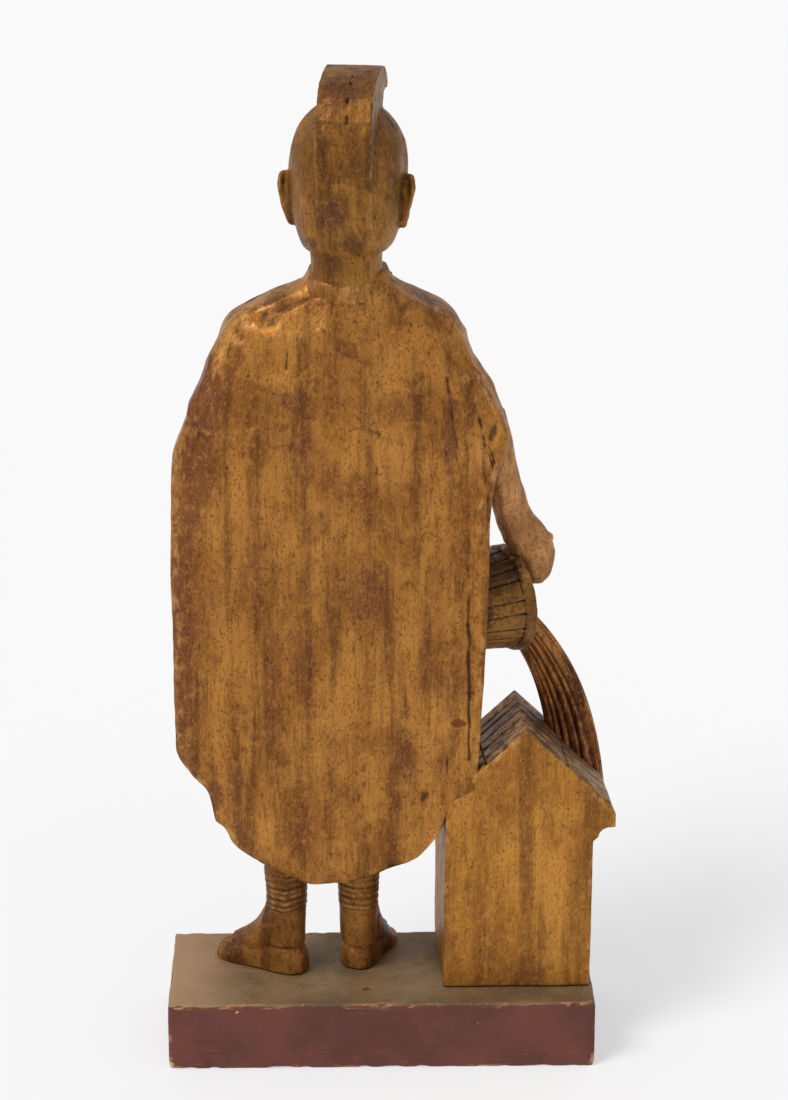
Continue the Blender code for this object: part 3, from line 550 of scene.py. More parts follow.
def plinth_paint():
    """Matt red-brown sides and a dull olive-bronze top, rubbed pale along the edges."""
    s = Shader("plinth_paint", 0.6, 0.0, 0.3)
    cloudy = s.noise((34, 30, 26), 5.0, 0.62)
    fine = s.noise((1.1, 1.1, 1.1), 3.0, 0.7)
    along = s.noise((18, 2.2, 1.6), 3.0, 0.6)
    x, height_up = s.axis(s.place, 0), s.axis(s.place, 2)
    facing = s.axis(s.tree.nodes.new("ShaderNodeNewGeometry").outputs["Normal"], 2)
    side = s.blend(s.ramp(cloudy, 0.38, 0.64), linear((104, 56, 45)), linear((88, 48, 40)))
    side = s.layered(side, ((along, 0.56, 0.72, 0.35, (72, 38, 32)),
                            (fine, 0.56, 0.76, 0.4, (124, 70, 54))))
    top = s.blend(s.ramp(cloudy, 0.36, 0.62), linear((128, 102, 70)), linear((98, 78, 52)))
    top = s.layered(top, ((fine, 0.50, 0.72, 0.6, (152, 124, 88)),
                          (fine, 0.46, 0.30, 0.6, (80, 60, 40)),
                          (along, 0.54, 0.74, 0.4, (84, 62, 42)),
                          (x, 0.052, 0.095, 0.6, (176, 140, 104))))
    wander = s.product(s.math("SUBTRACT", s.noise((7, 7, 7), 3.0), 0.5), 0.3)
    colour = s.blend(s.ramp(s.math("ADD", facing, wander), 0.55, 0.75), side, top)
    rubbed = s.product(s.ramp(s.attribute("relief"), 0.16, 0.24, 0.0, 0.75),
                       s.ramp(s.noise((11, 11, 3), 5.0, 0.7), 0.52, 0.60))
    colour = s.blend(rubbed, colour, linear((168, 118, 76)))
    distance, chance = s.cells((11.0, 11.0, 11.0), (0.4, 0.2, 0.7))
    spots = s.product(s.ramp(distance, 0.045, 0.03, 0.0, 0.8),
                      s.math("GREATER_THAN", chance, SPOT_SHARE))
    colour = s.blend(spots, colour, linear((206, 172, 150)))
    thin = s.noise((9, 3, 0.5), 2.0, 0.5, (1.0, 4.0, 2.0))
    scratches = s.product(s.ramp(thin, 0.66, 0.72, 0.0, 0.7), s.ramp(height_up, 0.014, 0.006))
    colour = s.blend(scratches, colour, linear((160, 74, 48)))
    tone = s.attribute("tone")
    colour = s.layered(colour, ((tone, 0.35, 0.9, 0.85, (198, 158, 120)),
                                (tone, -0.35, -0.9, 0.7, (48, 32, 30))))
    height = s.total(((fine, 0.05), (along, -0.07)))
    return s.finish(colour, height, s.ramp(cloudy, 0.3, 0.7, 0.52, 0.66))


# The cape

CAPE_LEFT = smooth_through((
    (51.5, 38.0), (54.5, 45.0), (61.9, 58.2), (70.5, 67.9), (76.5, 71.0), (80.5, 75.5), (93.7, 78.4),
    (103.8, 85.9), (116.0, 92.7), (215.0, 92.9), (247.0, 91.6), (266.5, 85.7), (298.0, 71.8),
    (307.5, 67.6), (313.5, 60.5), (319.5, 47.5), (326.0, 34.0), (331.0, 31.0)))
CAPE_RIGHT = smooth_through((
    (51.5, 16.0), (56.8, 0.0), (64.5, -17.2), (77.0, -26.9), (91.5, -32.5), (99.0, -43.0),
    (140.0, -45.6), (194.0, -47.4), (224.7, -48.4), (247.5, -51.5), (258.0, -55.6), (267.0, -53.4),
    (287.5, -43.2), (308.0, -33.6), (313.5, -27.5), (319.0, -17.0), (326.0, -5.0), (331.0, -2.0)))
CAPE_BACK = smooth_through((
    (51.5, 21.5), (80.0, 21.3), (240.0, 20.5), (280.0, 19.6), (300.0, 18.0), (313.5, 15.3),
    (322.5, 13.0), (331.0, 12.2)))
CAPE_THICKNESS = smooth_through((
    (51.5, 11.0), (200.0, 12.0), (240.0, 17.0), (270.0, 26.0), (297.0, 31.0), (313.0, 27.0),
    (322.0, 23.5), (331.0, 22.5)))
CAPE_ROUNDNESS = smooth_through((
    (51.5, 0.0), (215.0, 0.05), (270.0, 0.35), (302.0, 0.85), (313.0, 1.0), (331.0, 1.0)))
CAPE_HEM, CAPE_TOP = 51.5, 331.0
HOUSE_BACK_Y = 21.5
CAPE_ROWS = 330
CAPE_COLUMNS = 190
CAPE_FRONT_COLUMNS = 36
CAPE_EDGE_STEPS = 6
CAPE_LEFT_BOW = 5.5
CAPE_RIGHT_BOW = 0.9
CAPE_LEFT_CHAMFER = 3.0
CAPE_RIGHT_CHAMFER = 1.2
SHOULDER_MIDDLE = -1.0
SHOULDER_REACH = 0.995
CAPE_FOLDS = ((80.0, 9.0, 1.0), (62.0, 10.0, 1.3), (42.0, 11.0, 1.2), (21.0, 12.0, 1.4),
              (0.0, 10.0, 1.2), (-19.0, 9.0, 1.3))
FOLD_TOP = 265.0
FOLD_GROWTH = 0.7
FOLD_LEAN = 0.02


def cape_back(x, z):
    """The cape's back surface, before its carving."""
    left, right = CAPE_LEFT(z), CAPE_RIGHT(z)
    share = np.clip((2 * x - left - right) / (left - right), -1, 1)
    middle = CAPE_BACK(z)
    bowed = np.where(share > 0, CAPE_LEFT_BOW, CAPE_RIGHT_BOW) * share ** 2
    rounded = (middle - SHOULDER_MIDDLE) * (1 - np.sqrt(1 - share ** 2 * SHOULDER_REACH))
    mix = CAPE_ROUNDNESS(z)
    strength = np.clip((FOLD_TOP - z) / FOLD_TOP, 0, 1) ** FOLD_GROWTH
    folds = sum(depth * bump(x, at + FOLD_LEAN * (z - FOLD_TOP), width)
                for at, width, depth in CAPE_FOLDS)
    return middle - bowed * (1 - mix) - rounded * mix - folds * strength


# Lines cut or cracked into the cape's back: each is its points (x, height), its half width and depth
CAPE_LINES = (
    (((-36.2, 262), (-37.2, 240), (-37.4, 216), (-37.9, 190), (-38.2, 176)), 0.6, 0.45),
    (((-38.2, 176), (-38.7, 168), (-38.1, 158), (-39.0, 148), (-38.6, 139), (-39.2, 128), (-39.0, 112)),
     0.4, 0.8),
    (((-27.6, 288), (-29.6, 276), (-31.5, 262), (-33.6, 250), (-33.8, 240)), 0.4, 0.7),
    (((-31.0, 254), (-32.0, 238)), 0.35, 0.5),
    (((-28.2, 118), (-29.6, 110), (-29.2, 101), (-31.2, 93), (-30.9, 84), (-32.5, 77)), 0.4, 0.8),
    (((-42.0, 270), (-45.0, 258), (-48.5, 249), (-50.9, 243)), 0.5, 0.9),
    (((-44.0, 258), (-44.4, 246), (-46.2, 232), (-46.6, 218)), 0.5, 0.8),
    (((15.9, 267), (7.0, 266), (1.6, 264), (-0.2, 261)), 0.4, 0.5),
    (((-3.6, 282), (-10.0, 283.5), (-16.2, 269)), 0.4, 0.2),
    (((-22.4, 308), (-14.0, 304), (-5.4, 301), (-1.0, 296)), 0.4, 0.35),
    (((40.8, 299), (41.2, 292)), 0.6, 0.6),
    (((31.1, 167), (31.2, 151)), 0.4, 0.3),
    (((-4.5, 203), (6.0, 200), (16.0, 203), (24.0, 198)), 0.35, 0.2),
    (((66.0, 300), (74.5, 276), (82.0, 255), (86.0, 236)), 0.5, 0.3),
    (((-50.5, 249), (-46.0, 240), (-42.0, 228), (-40.8, 205)), 0.9, -0.7),
    (((-31.5, 205), (-30.0, 170), (-31.0, 140), (-28.0, 112)), 0.8, -0.35),
)
# Chips out of the shoulders: middle (x, height), the two reaches, the turn and the depth
CAPE_CHIPS = (
    ((40.0, 321.0), (21.0, 3.6), -18, 0.9), ((49.0, 312.5), (6.0, 4.2), -25, 1.1),
    ((61.5, 305.5), (4.2, 3.8), 30, 1.0), ((20.0, 328.5), (8.0, 2.4), -10, 0.7),
    ((12.0, 309.0), (9.0, 10.0), 15, 0.7), ((-6.0, 313.0), (9.0, 7.0), -20, 0.6),
    ((-16.0, 297.0), (8.0, 8.5), 25, 0.6), ((2.0, 296.0), (8.0, 7.5), 0, 0.6),
    ((27.0, 300.0), (9.0, 9.0), -10, 0.7), ((-30.5, 298.0), (5.5, 6.5), 40, 0.8),
    ((-37.5, 281.0), (3.6, 7.5), 20, 0.8), ((-47.5, 262.0), (4.0, 7.0), 25, 0.8),
    ((48.0, 293.0), (8.0, 8.0), 10, 0.5), ((70.0, 290.0), (5.0, 12.0), 25, 0.5),
)
# Soft light (over nothing) and dark (under it) patches, partly the paint's colour and partly painted light:
# painted shade on planes turned from the light, painted highlights on the shoulders; middle, reaches and
# share
CAPE_TONES = (
    ((79, 262), (11, 52), -1.0), ((87, 170), (9, 85), -0.7), ((36, 261), (15, 20), -0.5),
    ((1, 190), (26, 26), -0.45), ((-10, 112), (7, 48), -0.6), ((-25, 150), (6, 40), -0.4),
    ((-29, 268), (4, 32), -0.9), ((-8, 66), (15, 13), -0.5), ((73, 92), (9, 15), -0.6),
    ((52, 180), (7, 60), -0.35), ((33, 210), (5, 40), -0.3), ((12, 240), (20, 12), -0.3),
    ((48, 130), (5, 40), -0.3), ((-8, 292), (24, 16), 0.6), ((31, 309), (17, 10), 0.4),
    ((61, 243), (9, 42), 0.6), ((22, 132), (14, 20), 0.55), ((5, 100), (9, 30), 0.7),
    ((-19, 112), (5, 42), 0.8), ((-42, 178), (4, 75), 0.7), ((18, 324), (22, 6), 0.9),
    ((22, 68), (18, 11), 0.4), ((60, 140), (8, 50), 0.35), ((-40, 300), (12, 10), 0.4),
    ((-4, 225), (6, 26), 0.35), ((40, 325), (20, 5), 0.7),
)
CAPE_STAINS = (((-33.6, 129.8), (3.0, 2.4)), ((-36.0, 129.4), (2.2, 1.3)))
CREASE_INSIDE = 15.0
CREASE_DROP = 1.6
ROLL_X = -43.0
ROLL_HALF_WIDTH = 5.5
ROLL_HEIGHT = 0.9
FLUSH_TOP = 112.0
FLUSH_X = -17.0
FLUSH_FADE = (14.0, 9.0)
FLUSH_SHARE = 0.9
FLUSH_RIM = (0.45, 7.0)
FLUSH_SINK = 0.1
CREASE_FADE = (150, 230)
ROLL_FOOT, ROLL_TOP = (96, 112), (272, 262)
UPPER_CAPE = (225, 285)
FACETS_FADE = (250, 285)
LONG_CUTS_FADE = (290, 240)
BACK_FACING = (0.2, 0.7)
CAPE_REST = 0.5
SHOULDER_SHADING, LONG_SHADING = 0.3, 0.16
LINE_WANDER = (0.2, (4, 12, 12), 8)
HEM_SPACING = 0.85
# The cape's gouge work: height of its cuts, their size, seed and lean
SHOULDER_CUTS = (1.5, (17, 30, 15), 5, 0.6)
SHOULDER_FACETS = (1.2, (27, 30, 19), 17, 0.5)
LONG_CUTS = (0.85, (15, 60, 90), 11, 0.5)
CAPE_SWELLS = ((0.25, (22, 40, 60), 3), (0.05, (3, 8, 14), 4), (0.03, (1.6, 4, 9), 7))


def stroke(points, line, half_width):
    """How close each point lies to a line of points, from one on it to nothing beside it."""
    nearest = np.full(len(points), 1e9)
    line = np.asarray(line, float)
    for start, end in zip(line, line[1:]):
        way = end - start
        t = np.clip((points - start) @ way / (way @ way), 0, 1)
        nearest = np.minimum(nearest, np.linalg.norm(points - start - np.outer(t, way), axis=1))
    return bump(nearest, 0.0, half_width * 2)


def cape_ring(z):
    """The cape's outline at one height: back, left edge, front and right edge."""
    left, right = float(CAPE_LEFT(z)), float(CAPE_RIGHT(z))
    inner_left = left - min(CAPE_LEFT_CHAMFER, (left - right) / 6)
    inner_right = right + min(CAPE_RIGHT_CHAMFER, (left - right) / 6)
    thick = float(CAPE_THICKNESS(z))
    back_x = np.linspace(inner_right, inner_left, CAPE_COLUMNS)
    front_x = np.linspace(inner_left, inner_right, CAPE_FRONT_COLUMNS)
    back = np.column_stack((back_x, cape_back(back_x, z)))
    front = np.column_stack((front_x, cape_back(front_x, z) - thick))
    share = (np.arange(CAPE_EDGE_STEPS) + 1) / (CAPE_EDGE_STEPS + 1)
    bulge = np.sqrt(1 - (2 * share - 1) ** 4)
    left_edge = np.column_stack((inner_left + (left - inner_left) * bulge,
                                 back[-1, 1] - thick * share))
    right_edge = np.column_stack((inner_right + (right - inner_right) * bulge,
                                  front[-1, 1] + thick * share))
    ring = np.vstack((back, left_edge, front, right_edge))
    return np.column_stack((ring, np.full(len(ring), z)))


def cape_marks(points, back):
    """Height of the crease, the rolled edge, the chips and the lines on the cape's back."""
    x, z = points[:, 0], points[:, 2]
    inside = np.clip(1 - (CAPE_LEFT(z) - x) / CREASE_INSIDE, 0, 1)
    height = -CREASE_DROP * inside * smooth_step(z, *CREASE_FADE)
    roll = smooth_step(z, *ROLL_FOOT) * smooth_step(z, *ROLL_TOP)
    height += ROLL_HEIGHT * bump(x, ROLL_X, ROLL_HALF_WIDTH) * roll
    for middle, reach, turn, depth in CAPE_CHIPS:
        c, s = math.cos(math.radians(turn)), math.sin(math.radians(turn))
        dx, dz = x - middle[0], z - middle[1]
        away = ((dx * c + dz * s) / reach[0]) ** 2 + ((dz * c - dx * s) / reach[1]) ** 2
        height -= depth * np.clip(1 - away, 0, 1)
    rise, size, seed = LINE_WANDER
    wander = np.column_stack((x + rise * waves(points, size, seed), z))
    for line, half_width, depth in CAPE_LINES:
        height -= depth * stroke(wander, line, half_width)
    return height * back


def make_cape(material):
    hem = np.linspace(0, 1, CAPE_ROWS)
    levels = CAPE_HEM + (CAPE_TOP - CAPE_HEM) * (HEM_SPACING * hem + (1 - HEM_SPACING) * hem ** 2)
    mesh = make_mesh("cape", lofted([cape_ring(z) for z in levels]))
    points = read_points(mesh)
    x, z = points[:, 0], points[:, 2]
    back = smooth_step(read_normals(mesh)[:, 1], *BACK_FACING)
    upper = smooth_step(z, *UPPER_CAPE)
    height = np.full(len(points), -CAPE_REST)
    # Each cut's shade goes into the tone's ground as painted light: a painted highlight on some cuts and
    # painted shade on others, as if each caught the light differently.
    ground = 0.0
    for (rise, *gouge), region, shading in (
            (SHOULDER_CUTS, upper, SHOULDER_SHADING * upper),
            (SHOULDER_FACETS, smooth_step(z, *FACETS_FADE), SHOULDER_SHADING * upper),
            (LONG_CUTS, smooth_step(z, *LONG_CUTS_FADE) * back, LONG_SHADING * (1 - upper))):
        carving, shade = shaded_cuts(points, *gouge)
        height += rise * carving * region
        ground = ground + shade * shading
    for rise, size, seed in CAPE_SWELLS:
        height += rise * waves(points, size, seed)
    push(mesh, height, cape_marks(points, back))
    points = read_points(mesh)
    flush = (smooth_step(z, FLUSH_TOP, FLUSH_TOP - FLUSH_FADE[0])
             * smooth_step(x, FLUSH_X, FLUSH_X - FLUSH_FADE[1]) * back)
    rim = FLUSH_RIM[0] * smooth_step(x - CAPE_RIGHT(z), 0.0, FLUSH_RIM[1])
    points[:, 1] += (HOUSE_BACK_Y + rim - FLUSH_SINK - points[:, 1]) * flush * FLUSH_SHARE
    write_points(mesh, points)
    mark_tone(mesh, CAPE_TONES, (0, 2), ground)
    mark_stain(mesh, CAPE_STAINS)
    piece("cape", mesh, material)


# The house

HOUSE_INNER_X, HOUSE_OUTER_X = -28.5, -95.7
HOUSE_FRONT_Y = -27.5
HOUSE_SKEW = 2.8
RIDGE_X, RIDGE_H = -64.5, 129.0 - 1.8
EAVE_REACH = 10.0
EAVE_DROP = 9.2
EAVE_CHAMFER = 2.2
EAVE_SOFFIT = 3.2
COVE_HEIGHT = 5.4
COVE_STEPS = 10
EAVE_LEDGE = 2.1
LEDGE_FALL = 0.4
WALL_TOP = 73.2
EAVE_TIP_X = HOUSE_OUTER_X - EAVE_REACH
EAVE_TOP = WALL_TOP + LEDGE_FALL + COVE_HEIGHT + EAVE_DROP
ROOF_FALL = (RIDGE_H - EAVE_TOP) / (RIDGE_X - EAVE_TIP_X)
PLANK_ROWS = 2
PLANKS_PER_ROW = 6
PLANK_GROOVE = 1.0
PLANK_THICKNESS = 1.6
GABLE_THICKNESS = 1.6
GABLE_DROP = 0.2
PLANK_STEPS = 6
PLANK_RISES = (-0.25, 0.1)
PLANK_TILT = 0.15
PLANK_SHIFT = 0.015
PLANK_RIM = ((0.5, 0.0), (0.15, 0.15), (0.0, 0.5))
RIDGE_GAP, EAVE_GAP = 0.4, 0.2
# A painted highlight on the outer slope's planks, where they catch the light at a grazing angle: middle (x,
# height), reaches and share
ROOF_TONES = (((-90, 100), (24, 60), 1.0),)


def house_place(depth, x, z):
    return x + HOUSE_SKEW * (HOUSE_BACK_Y - depth) / (HOUSE_BACK_Y - HOUSE_FRONT_Y), depth, z


def roof_height(x):
    return RIDGE_H - ROOF_FALL * abs(x - RIDGE_X)


def house_outline(drop):
    """The house's end, with the roof's surface a little lower, under its planks."""
    cove_width = EAVE_REACH - EAVE_SOFFIT - EAVE_LEDGE
    eave_x = EAVE_TIP_X + EAVE_CHAMFER
    points = [(RIDGE_X, RIDGE_H - drop * 1.3), (eave_x, roof_height(eave_x) - drop),
              (EAVE_TIP_X + 0.2, EAVE_TOP - EAVE_CHAMFER), (EAVE_TIP_X, EAVE_TOP - EAVE_DROP)]
    for step in range(COVE_STEPS + 1):
        angle = math.pi / 2 * step / COVE_STEPS
        points.append((EAVE_TIP_X + EAVE_SOFFIT + cove_width * math.sin(angle),
                       EAVE_TOP - EAVE_DROP - COVE_HEIGHT * (1 - math.cos(angle))))
    points += [(HOUSE_OUTER_X, WALL_TOP), (HOUSE_OUTER_X, 0.0), (HOUSE_INNER_X, 0.0),
               (HOUSE_INNER_X, roof_height(HOUSE_INNER_X) - drop)]
    return points


# The door and windows in the front: middle x, sill, width and height
HOUSE_OPENINGS = ((-62.1, 2.0, 15.0, 29.0), (-84.1, 36.0, 10.0, 10.0), (-40.1, 36.0, 10.0, 10.0))
OPENING_RECESS = 1.8
# Hairline cracks in the rear wall, and soft light and dark patches, partly its paint and partly painted
# highlight and shade, as on the cape
WALL_LINES = (
    (((-44.0, 2.0), (-45.6, 24.0), (-46.8, 52.0)), 0.4, 0.5),
    (((-66.0, 4.0), (-67.2, 40.0), (-69.2, 84.0)), 0.35, 0.4),
    (((-71.5, 38.0), (-75.8, 24.0)), 0.4, 0.5), (((-77.0, 42.0), (-80.0, 31.0)), 0.35, 0.4),
    (((-58.0, 98.0), (-60.0, 90.0)), 0.4, 0.4),
)
WALL_TONES = (
    ((-66, 8), (16, 9), -0.7), ((-38, 60), (6, 30), 0.3), ((-80, 50), (10, 30), 0.4),
    ((-60, 88), (14, 14), -0.3), ((-50, 40), (6, 30), 0.4), ((-88, 78), (8, 8), -0.4),
    ((-70, 60), (8, 20), 0.3), ((-33, 20), (4, 20), -0.5),
)
WALL_CUT = (0.20, (12, 20, 30), 22)
WALL_SWELLS = ((0.10, (24, 24, 40), 21), (0.04, (3, 3, 9), 23))
WALL_REST = 0.15


def flat_place(depth, x, z):
    return x, depth, z


def opening_form(middle, sill, width, height):
    outline = [(middle - width / 2, sill), (middle + width / 2, sill),
               (middle + width / 2, sill + height), (middle - width / 2, sill + height)]
    return drawn_out(outline, HOUSE_FRONT_Y - 3, HOUSE_FRONT_Y + OPENING_RECESS, flat_place)


def make_house(material):
    walls = drawn_out(house_outline(PLANK_THICKNESS), HOUSE_FRONT_Y, HOUSE_BACK_Y, house_place)
    gable_y = HOUSE_BACK_Y - GABLE_THICKNESS
    walls += drawn_out(house_outline(GABLE_DROP), gable_y, HOUSE_BACK_Y, house_place)
    openings = [opening_form(*opening) for opening in HOUSE_OPENINGS]
    mesh = remeshed("house_walls", walls, openings)
    points = read_points(mesh)
    height = carved(points, WALL_CUT, WALL_SWELLS, WALL_REST)
    behind = points[:, 1] > HOUSE_BACK_Y - 1
    for line, half_width, depth in WALL_LINES:
        height -= depth * stroke(points[:, (0, 2)], line, half_width) * behind
    push(mesh, height)
    mark_tone(mesh, WALL_TONES, (0, 2))
    piece("house_walls", mesh, material)


def roof_place(outward, down, depth, lift):
    """A place on a roof slope: distance down it from the ridge, depth and height over its surface."""
    slope = math.hypot(1, ROOF_FALL)
    x = RIDGE_X + outward * (down + lift * ROOF_FALL) / slope
    z = RIDGE_H + (lift - down * ROOF_FALL) / slope
    return house_place(depth, x, z)


def plank_form(outward, start, end, low_y, high_y, rng):
    """One roof plank with a rounded rim, a little uneven in height and width."""
    rise = rng.uniform(*PLANK_RISES)
    tilt = rng.uniform(-PLANK_TILT, PLANK_TILT)
    rings = []
    for lift, inset in ((-PLANK_THICKNESS, 0.0), *((rise - drop, inset) for drop, inset in PLANK_RIM)):
        corners = ((start + inset, low_y + inset), (end - inset, low_y + inset),
                   (end - inset, high_y - inset), (start + inset, high_y - inset))
        ring = []
        for (d0, y0), (d1, y1) in zip(corners, corners[1:] + corners[:1]):
            for share in np.arange(PLANK_STEPS) / PLANK_STEPS:
                down, depth = d0 + (d1 - d0) * share, y0 + (y1 - y0) * share
                lean = tilt * (2 * (depth - low_y) / (high_y - low_y) - 1)
                ring.append(roof_place(outward, down, depth, lift + lean * (lift > -PLANK_THICKNESS)))
        rings.append(ring)
    return lofted(rings)


def make_roof(material):
    """Two rows of planks on each slope, laid over the wall's own roof."""
    rng = np.random.default_rng(31)
    planks = []
    gap = PLANK_GROOVE / 2
    length = HOUSE_BACK_Y - HOUSE_FRONT_Y
    for outward, reach in ((1, HOUSE_INNER_X - RIDGE_X), (-1, RIDGE_X - EAVE_TIP_X - EAVE_CHAMFER)):
        row = reach * math.hypot(1, ROOF_FALL) / PLANK_ROWS
        for k in range(PLANK_ROWS):
            odd = k % 2
            joints = [(i - odd / 2) / PLANKS_PER_ROW + rng.uniform(-PLANK_SHIFT, PLANK_SHIFT)
                      for i in range(1, PLANKS_PER_ROW + odd)]
            start = row * k + (gap if k else RIDGE_GAP)
            end = row * (k + 1) - (gap if k + 1 < PLANK_ROWS else EAVE_GAP)
            for low, high in zip([0.0] + joints, joints + [1.0]):
                low_y = HOUSE_FRONT_Y + length * low + gap * (low > 0)
                high_y = HOUSE_FRONT_Y + length * high - gap * (high < 1)
                high_y = min(high_y, HOUSE_BACK_Y - GABLE_THICKNESS)
                planks.append(plank_form(outward, start, end, low_y, high_y, rng))
    mesh = make_mesh("roof_planks", joined(planks))
    mark_tone(mesh, ROOF_TONES, (0, 2))
    piece("roof_planks", mesh, material)


# The head

HEAD_MIDDLE = (14.2, -1.0)
HEAD_TURN = math.radians(-7.5)
SKULL = ((341.5, 0, 2.5, 17.5, 20.0), (344.0, 0, 2.0, 19.6, 23.0), (350.0, 0, 1.5, 22.0, 26.0),
         (360.0, 0, 0.5, 24.4, 28.2), (375.0, 0, 0, 25.3, 29.2), (384.0, 0, 0, 24.6, 28.6),
         (392.0, 0, 0, 21.9, 25.7), (398.0, 0, 0, 17.8, 21.0), (402.0, 0, 0, 12.8, 15.2),
         (404.6, 0, 0, 6.0, 7.2))
JAW = ((330.5, 0, -17.5, 5.5, 6.0), (333.5, 0, -15.5, 10.0, 11.0), (341.0, 0, -11.0, 15.5, 17.0),
       (352.0, 0, -7.5, 19.5, 21.5), (366.0, 0, -4.0, 21.8, 25.0), (378.0, 0, -2.0, 22.0, 26.5))
VISOR = ((376.5, 0, -6.5, 22.5, 24.5), (378.5, 0, -6.5, 23.6, 26.6), (382.5, 0, -6.5, 23.2, 26.0),
         (384.5, 0, -6.0, 21.6, 23.6))
NECK = ((318, 15, 0.5, 16.0, 13.0), (334, 15, 1.0, 15.4, 13.6), (347, 14.5, 0.5, 16.4, 15.5))
EAR_RIM = ((24.6, 3.0, 373.0, 1.4, 1.6), (27.2, 4.6, 373.4, 1.5, 1.7), (28.3, 7.4, 369.5, 1.4, 1.7),
           (27.3, 7.2, 363.0, 1.3, 1.6), (25.4, 5.2, 356.5, 1.5, 1.8), (23.6, 2.4, 352.2, 1.8, 2.0),
           (22.8, 0.4, 353.0, 1.2, 1.4))
EAR_INSIDE = ((25.4, 4.4, 363.6), (2.3, 3.9, 10.2), 0.0)
NOSE = ((0, -27.5, 371.5, 2.3, 2.6), (0, -30.2, 365.0, 2.4, 3.0), (0, -32.2, 359.0, 3.0, 3.4),
        (0, -32.6, 356.6, 3.4, 3.2), (0, -29.5, 354.0, 2.8, 2.4))
NOSTRIL = ((3.3, -29.8, 356.2), (2.0, 3.0, 1.9), 0.3)
CHIN = ((0.0, -22.6, 336.8), (7.2, 5.2, 5.2), 0.0)
# Hollows (under nothing) and swellings of one half of the face: middle, two reaches and height
FACE_SWELLS = (
    ((9.2, 367.4), (7.6, 5.0), -2.8), ((9.2, 365.8), (5.4, 3.5), 2.0), ((2.6, 366.0), (3.2, 4.0), -0.8),
    ((12.0, 355.5), (7.5, 7.0), 0.9), ((13.5, 345.0), (6.5, 8.0), -1.1),
    ((2.0, 349.5), (5.2, 2.0), 1.0),
    ((1.5, 345.5), (4.6, 2.1), 1.2), ((0.0, 342.0), (5.6, 1.9), -1.0), ((0.0, 336.6), (7.5, 4.8), 0.6),
)
# Lines of one half of the face: their points, half width and height
FACE_LINES = (
    (((4.2, 365.4), (6.5, 367.5), (9.4, 368.2), (12.2, 367.2), (14.6, 364.8)), 0.7, 0.8),
    (((4.4, 368.2), (6.8, 370.0), (9.6, 370.4), (12.8, 369.2), (15.4, 366.4)), 0.6, -0.6),
    (((4.6, 364.8), (7.4, 363.3), (10.2, 363.0), (13.8, 364.4)), 0.6, 0.6),
    (((2.6, 371.4), (6.0, 373.6), (10.5, 373.6), (15.5, 370.8)), 1.6, 1.1),
    (((0.0, 347.7), (3.2, 347.3), (6.8, 347.9)), 0.5, -1.1), (((0.0, 350.6), (0.0, 353.2)), 0.7, -0.4),
    (((4.9, 355.4), (7.2, 351.6), (8.4, 348.2)), 0.9, -0.6),
)
FACE_FRONT = -14.0
FACE_FADE = 5.0
CREST = ((20.0, 346.0), (27.5, 356.0), (30.0, 368.0), (32.0, 380.0), (32.6, 391.0), (30.6, 401.0),
         (25.6, 409.5), (17.5, 415.0), (6.0, 417.8), (-8.0, 417.9), (-19.0, 415.6), (-27.0, 411.0),
         (-30.0, 406.5), (-26.5, 405.0), (-20.5, 407.0), (-14.0, 405.0), (-9.5, 400.0), (-5.0, 392.0),
         (8.0, 384.0))
CREST_HALF_WIDTH = 12.0
CREST_SHIFT = -1.8

# Cracks in the crest and the line round the nape, as places about the head's middle
HEAD_LINES = (
    (((-3.4, 10.0, 417.4), (-3.3, 13.0, 416.6)), 0.5, 1.2),
    (((-3.4, 16.0, 415.6), (-3.3, 18.0, 414.6)), 0.5, 1.2),
    (((-3.1, 24.5, 410.6), (-3.0, 26.5, 408.5)), 0.5, 1.2),
    (((-3.2, 29.6, 403.0), (-3.2, 30.8, 400.0)), 0.5, 1.2),
    (((-3.4, 10.0, 417.4), (-3.0, 26.0, 409.0), (-3.2, 32.6, 391.0)), 0.3, 0.4),
    (((-13.2, 31.0, 394.0), (-13.0, 31.0, 384.0), (-12.4, 30.0, 374.0)), 0.4, 0.9),
    (((-21.0, 12.0, 345.2), (-16.0, 20.0, 345.0), (-8.0, 25.5, 344.6), (0.0, 27.0, 343.8),
      (9.0, 25.0, 344.4), (17.0, 19.0, 345.2), (21.0, 12.0, 345.6)), 0.5, 0.9),
)
# Light and dark patches on the head, partly the paint's colour and partly painted light, such as the painted
# highlight on the crest's top: middle (x, height), reaches and share
HEAD_TONES = (
    ((14, 350), (7, 7), -0.9), ((20, 362), (9, 9), -1.0), ((31, 347), (6, 5), -1.0),
    ((17, 413), (14, 9), -1.0), ((12, 384), (8, 5), -0.5), ((17, 374), (6, 5), 0.6),
    ((4, 362), (6, 16), 0.9), ((22, 396), (7, 6), 0.5), ((9, 399), (6, 6), 0.6),
    ((30, 366), (4, 14), 0.3), ((-5, 374), (6, 16), -0.3), ((33, 386), (6, 12), -0.3),
    ((8, 432), (16, 15), 0.8),
)
BEHIND_FACE = (-16, 4)
FACE_SPARES_CUTS, FACE_SPARES_SWELLS = 0.85, 0.7
HEAD_REST = 0.2
HEAD_TONE_Y = 26.0
HEAD_TONE_REACH = 24.0
HEAD_CUT = (0.50, (11, 11, 17), 41)
HEAD_SWELLS = ((0.10, (12, 12, 18), 42), (0.035, (2.2, 2.2, 6), 43))


def head_place(points):
    """Places about the head's middle, turned with the head."""
    c, s = math.cos(HEAD_TURN), math.sin(HEAD_TURN)
    x, y, z = np.asarray(points, float).T
    return np.column_stack((HEAD_MIDDLE[0] + x * c - y * s, HEAD_MIDDLE[1] + x * s + y * c, z))


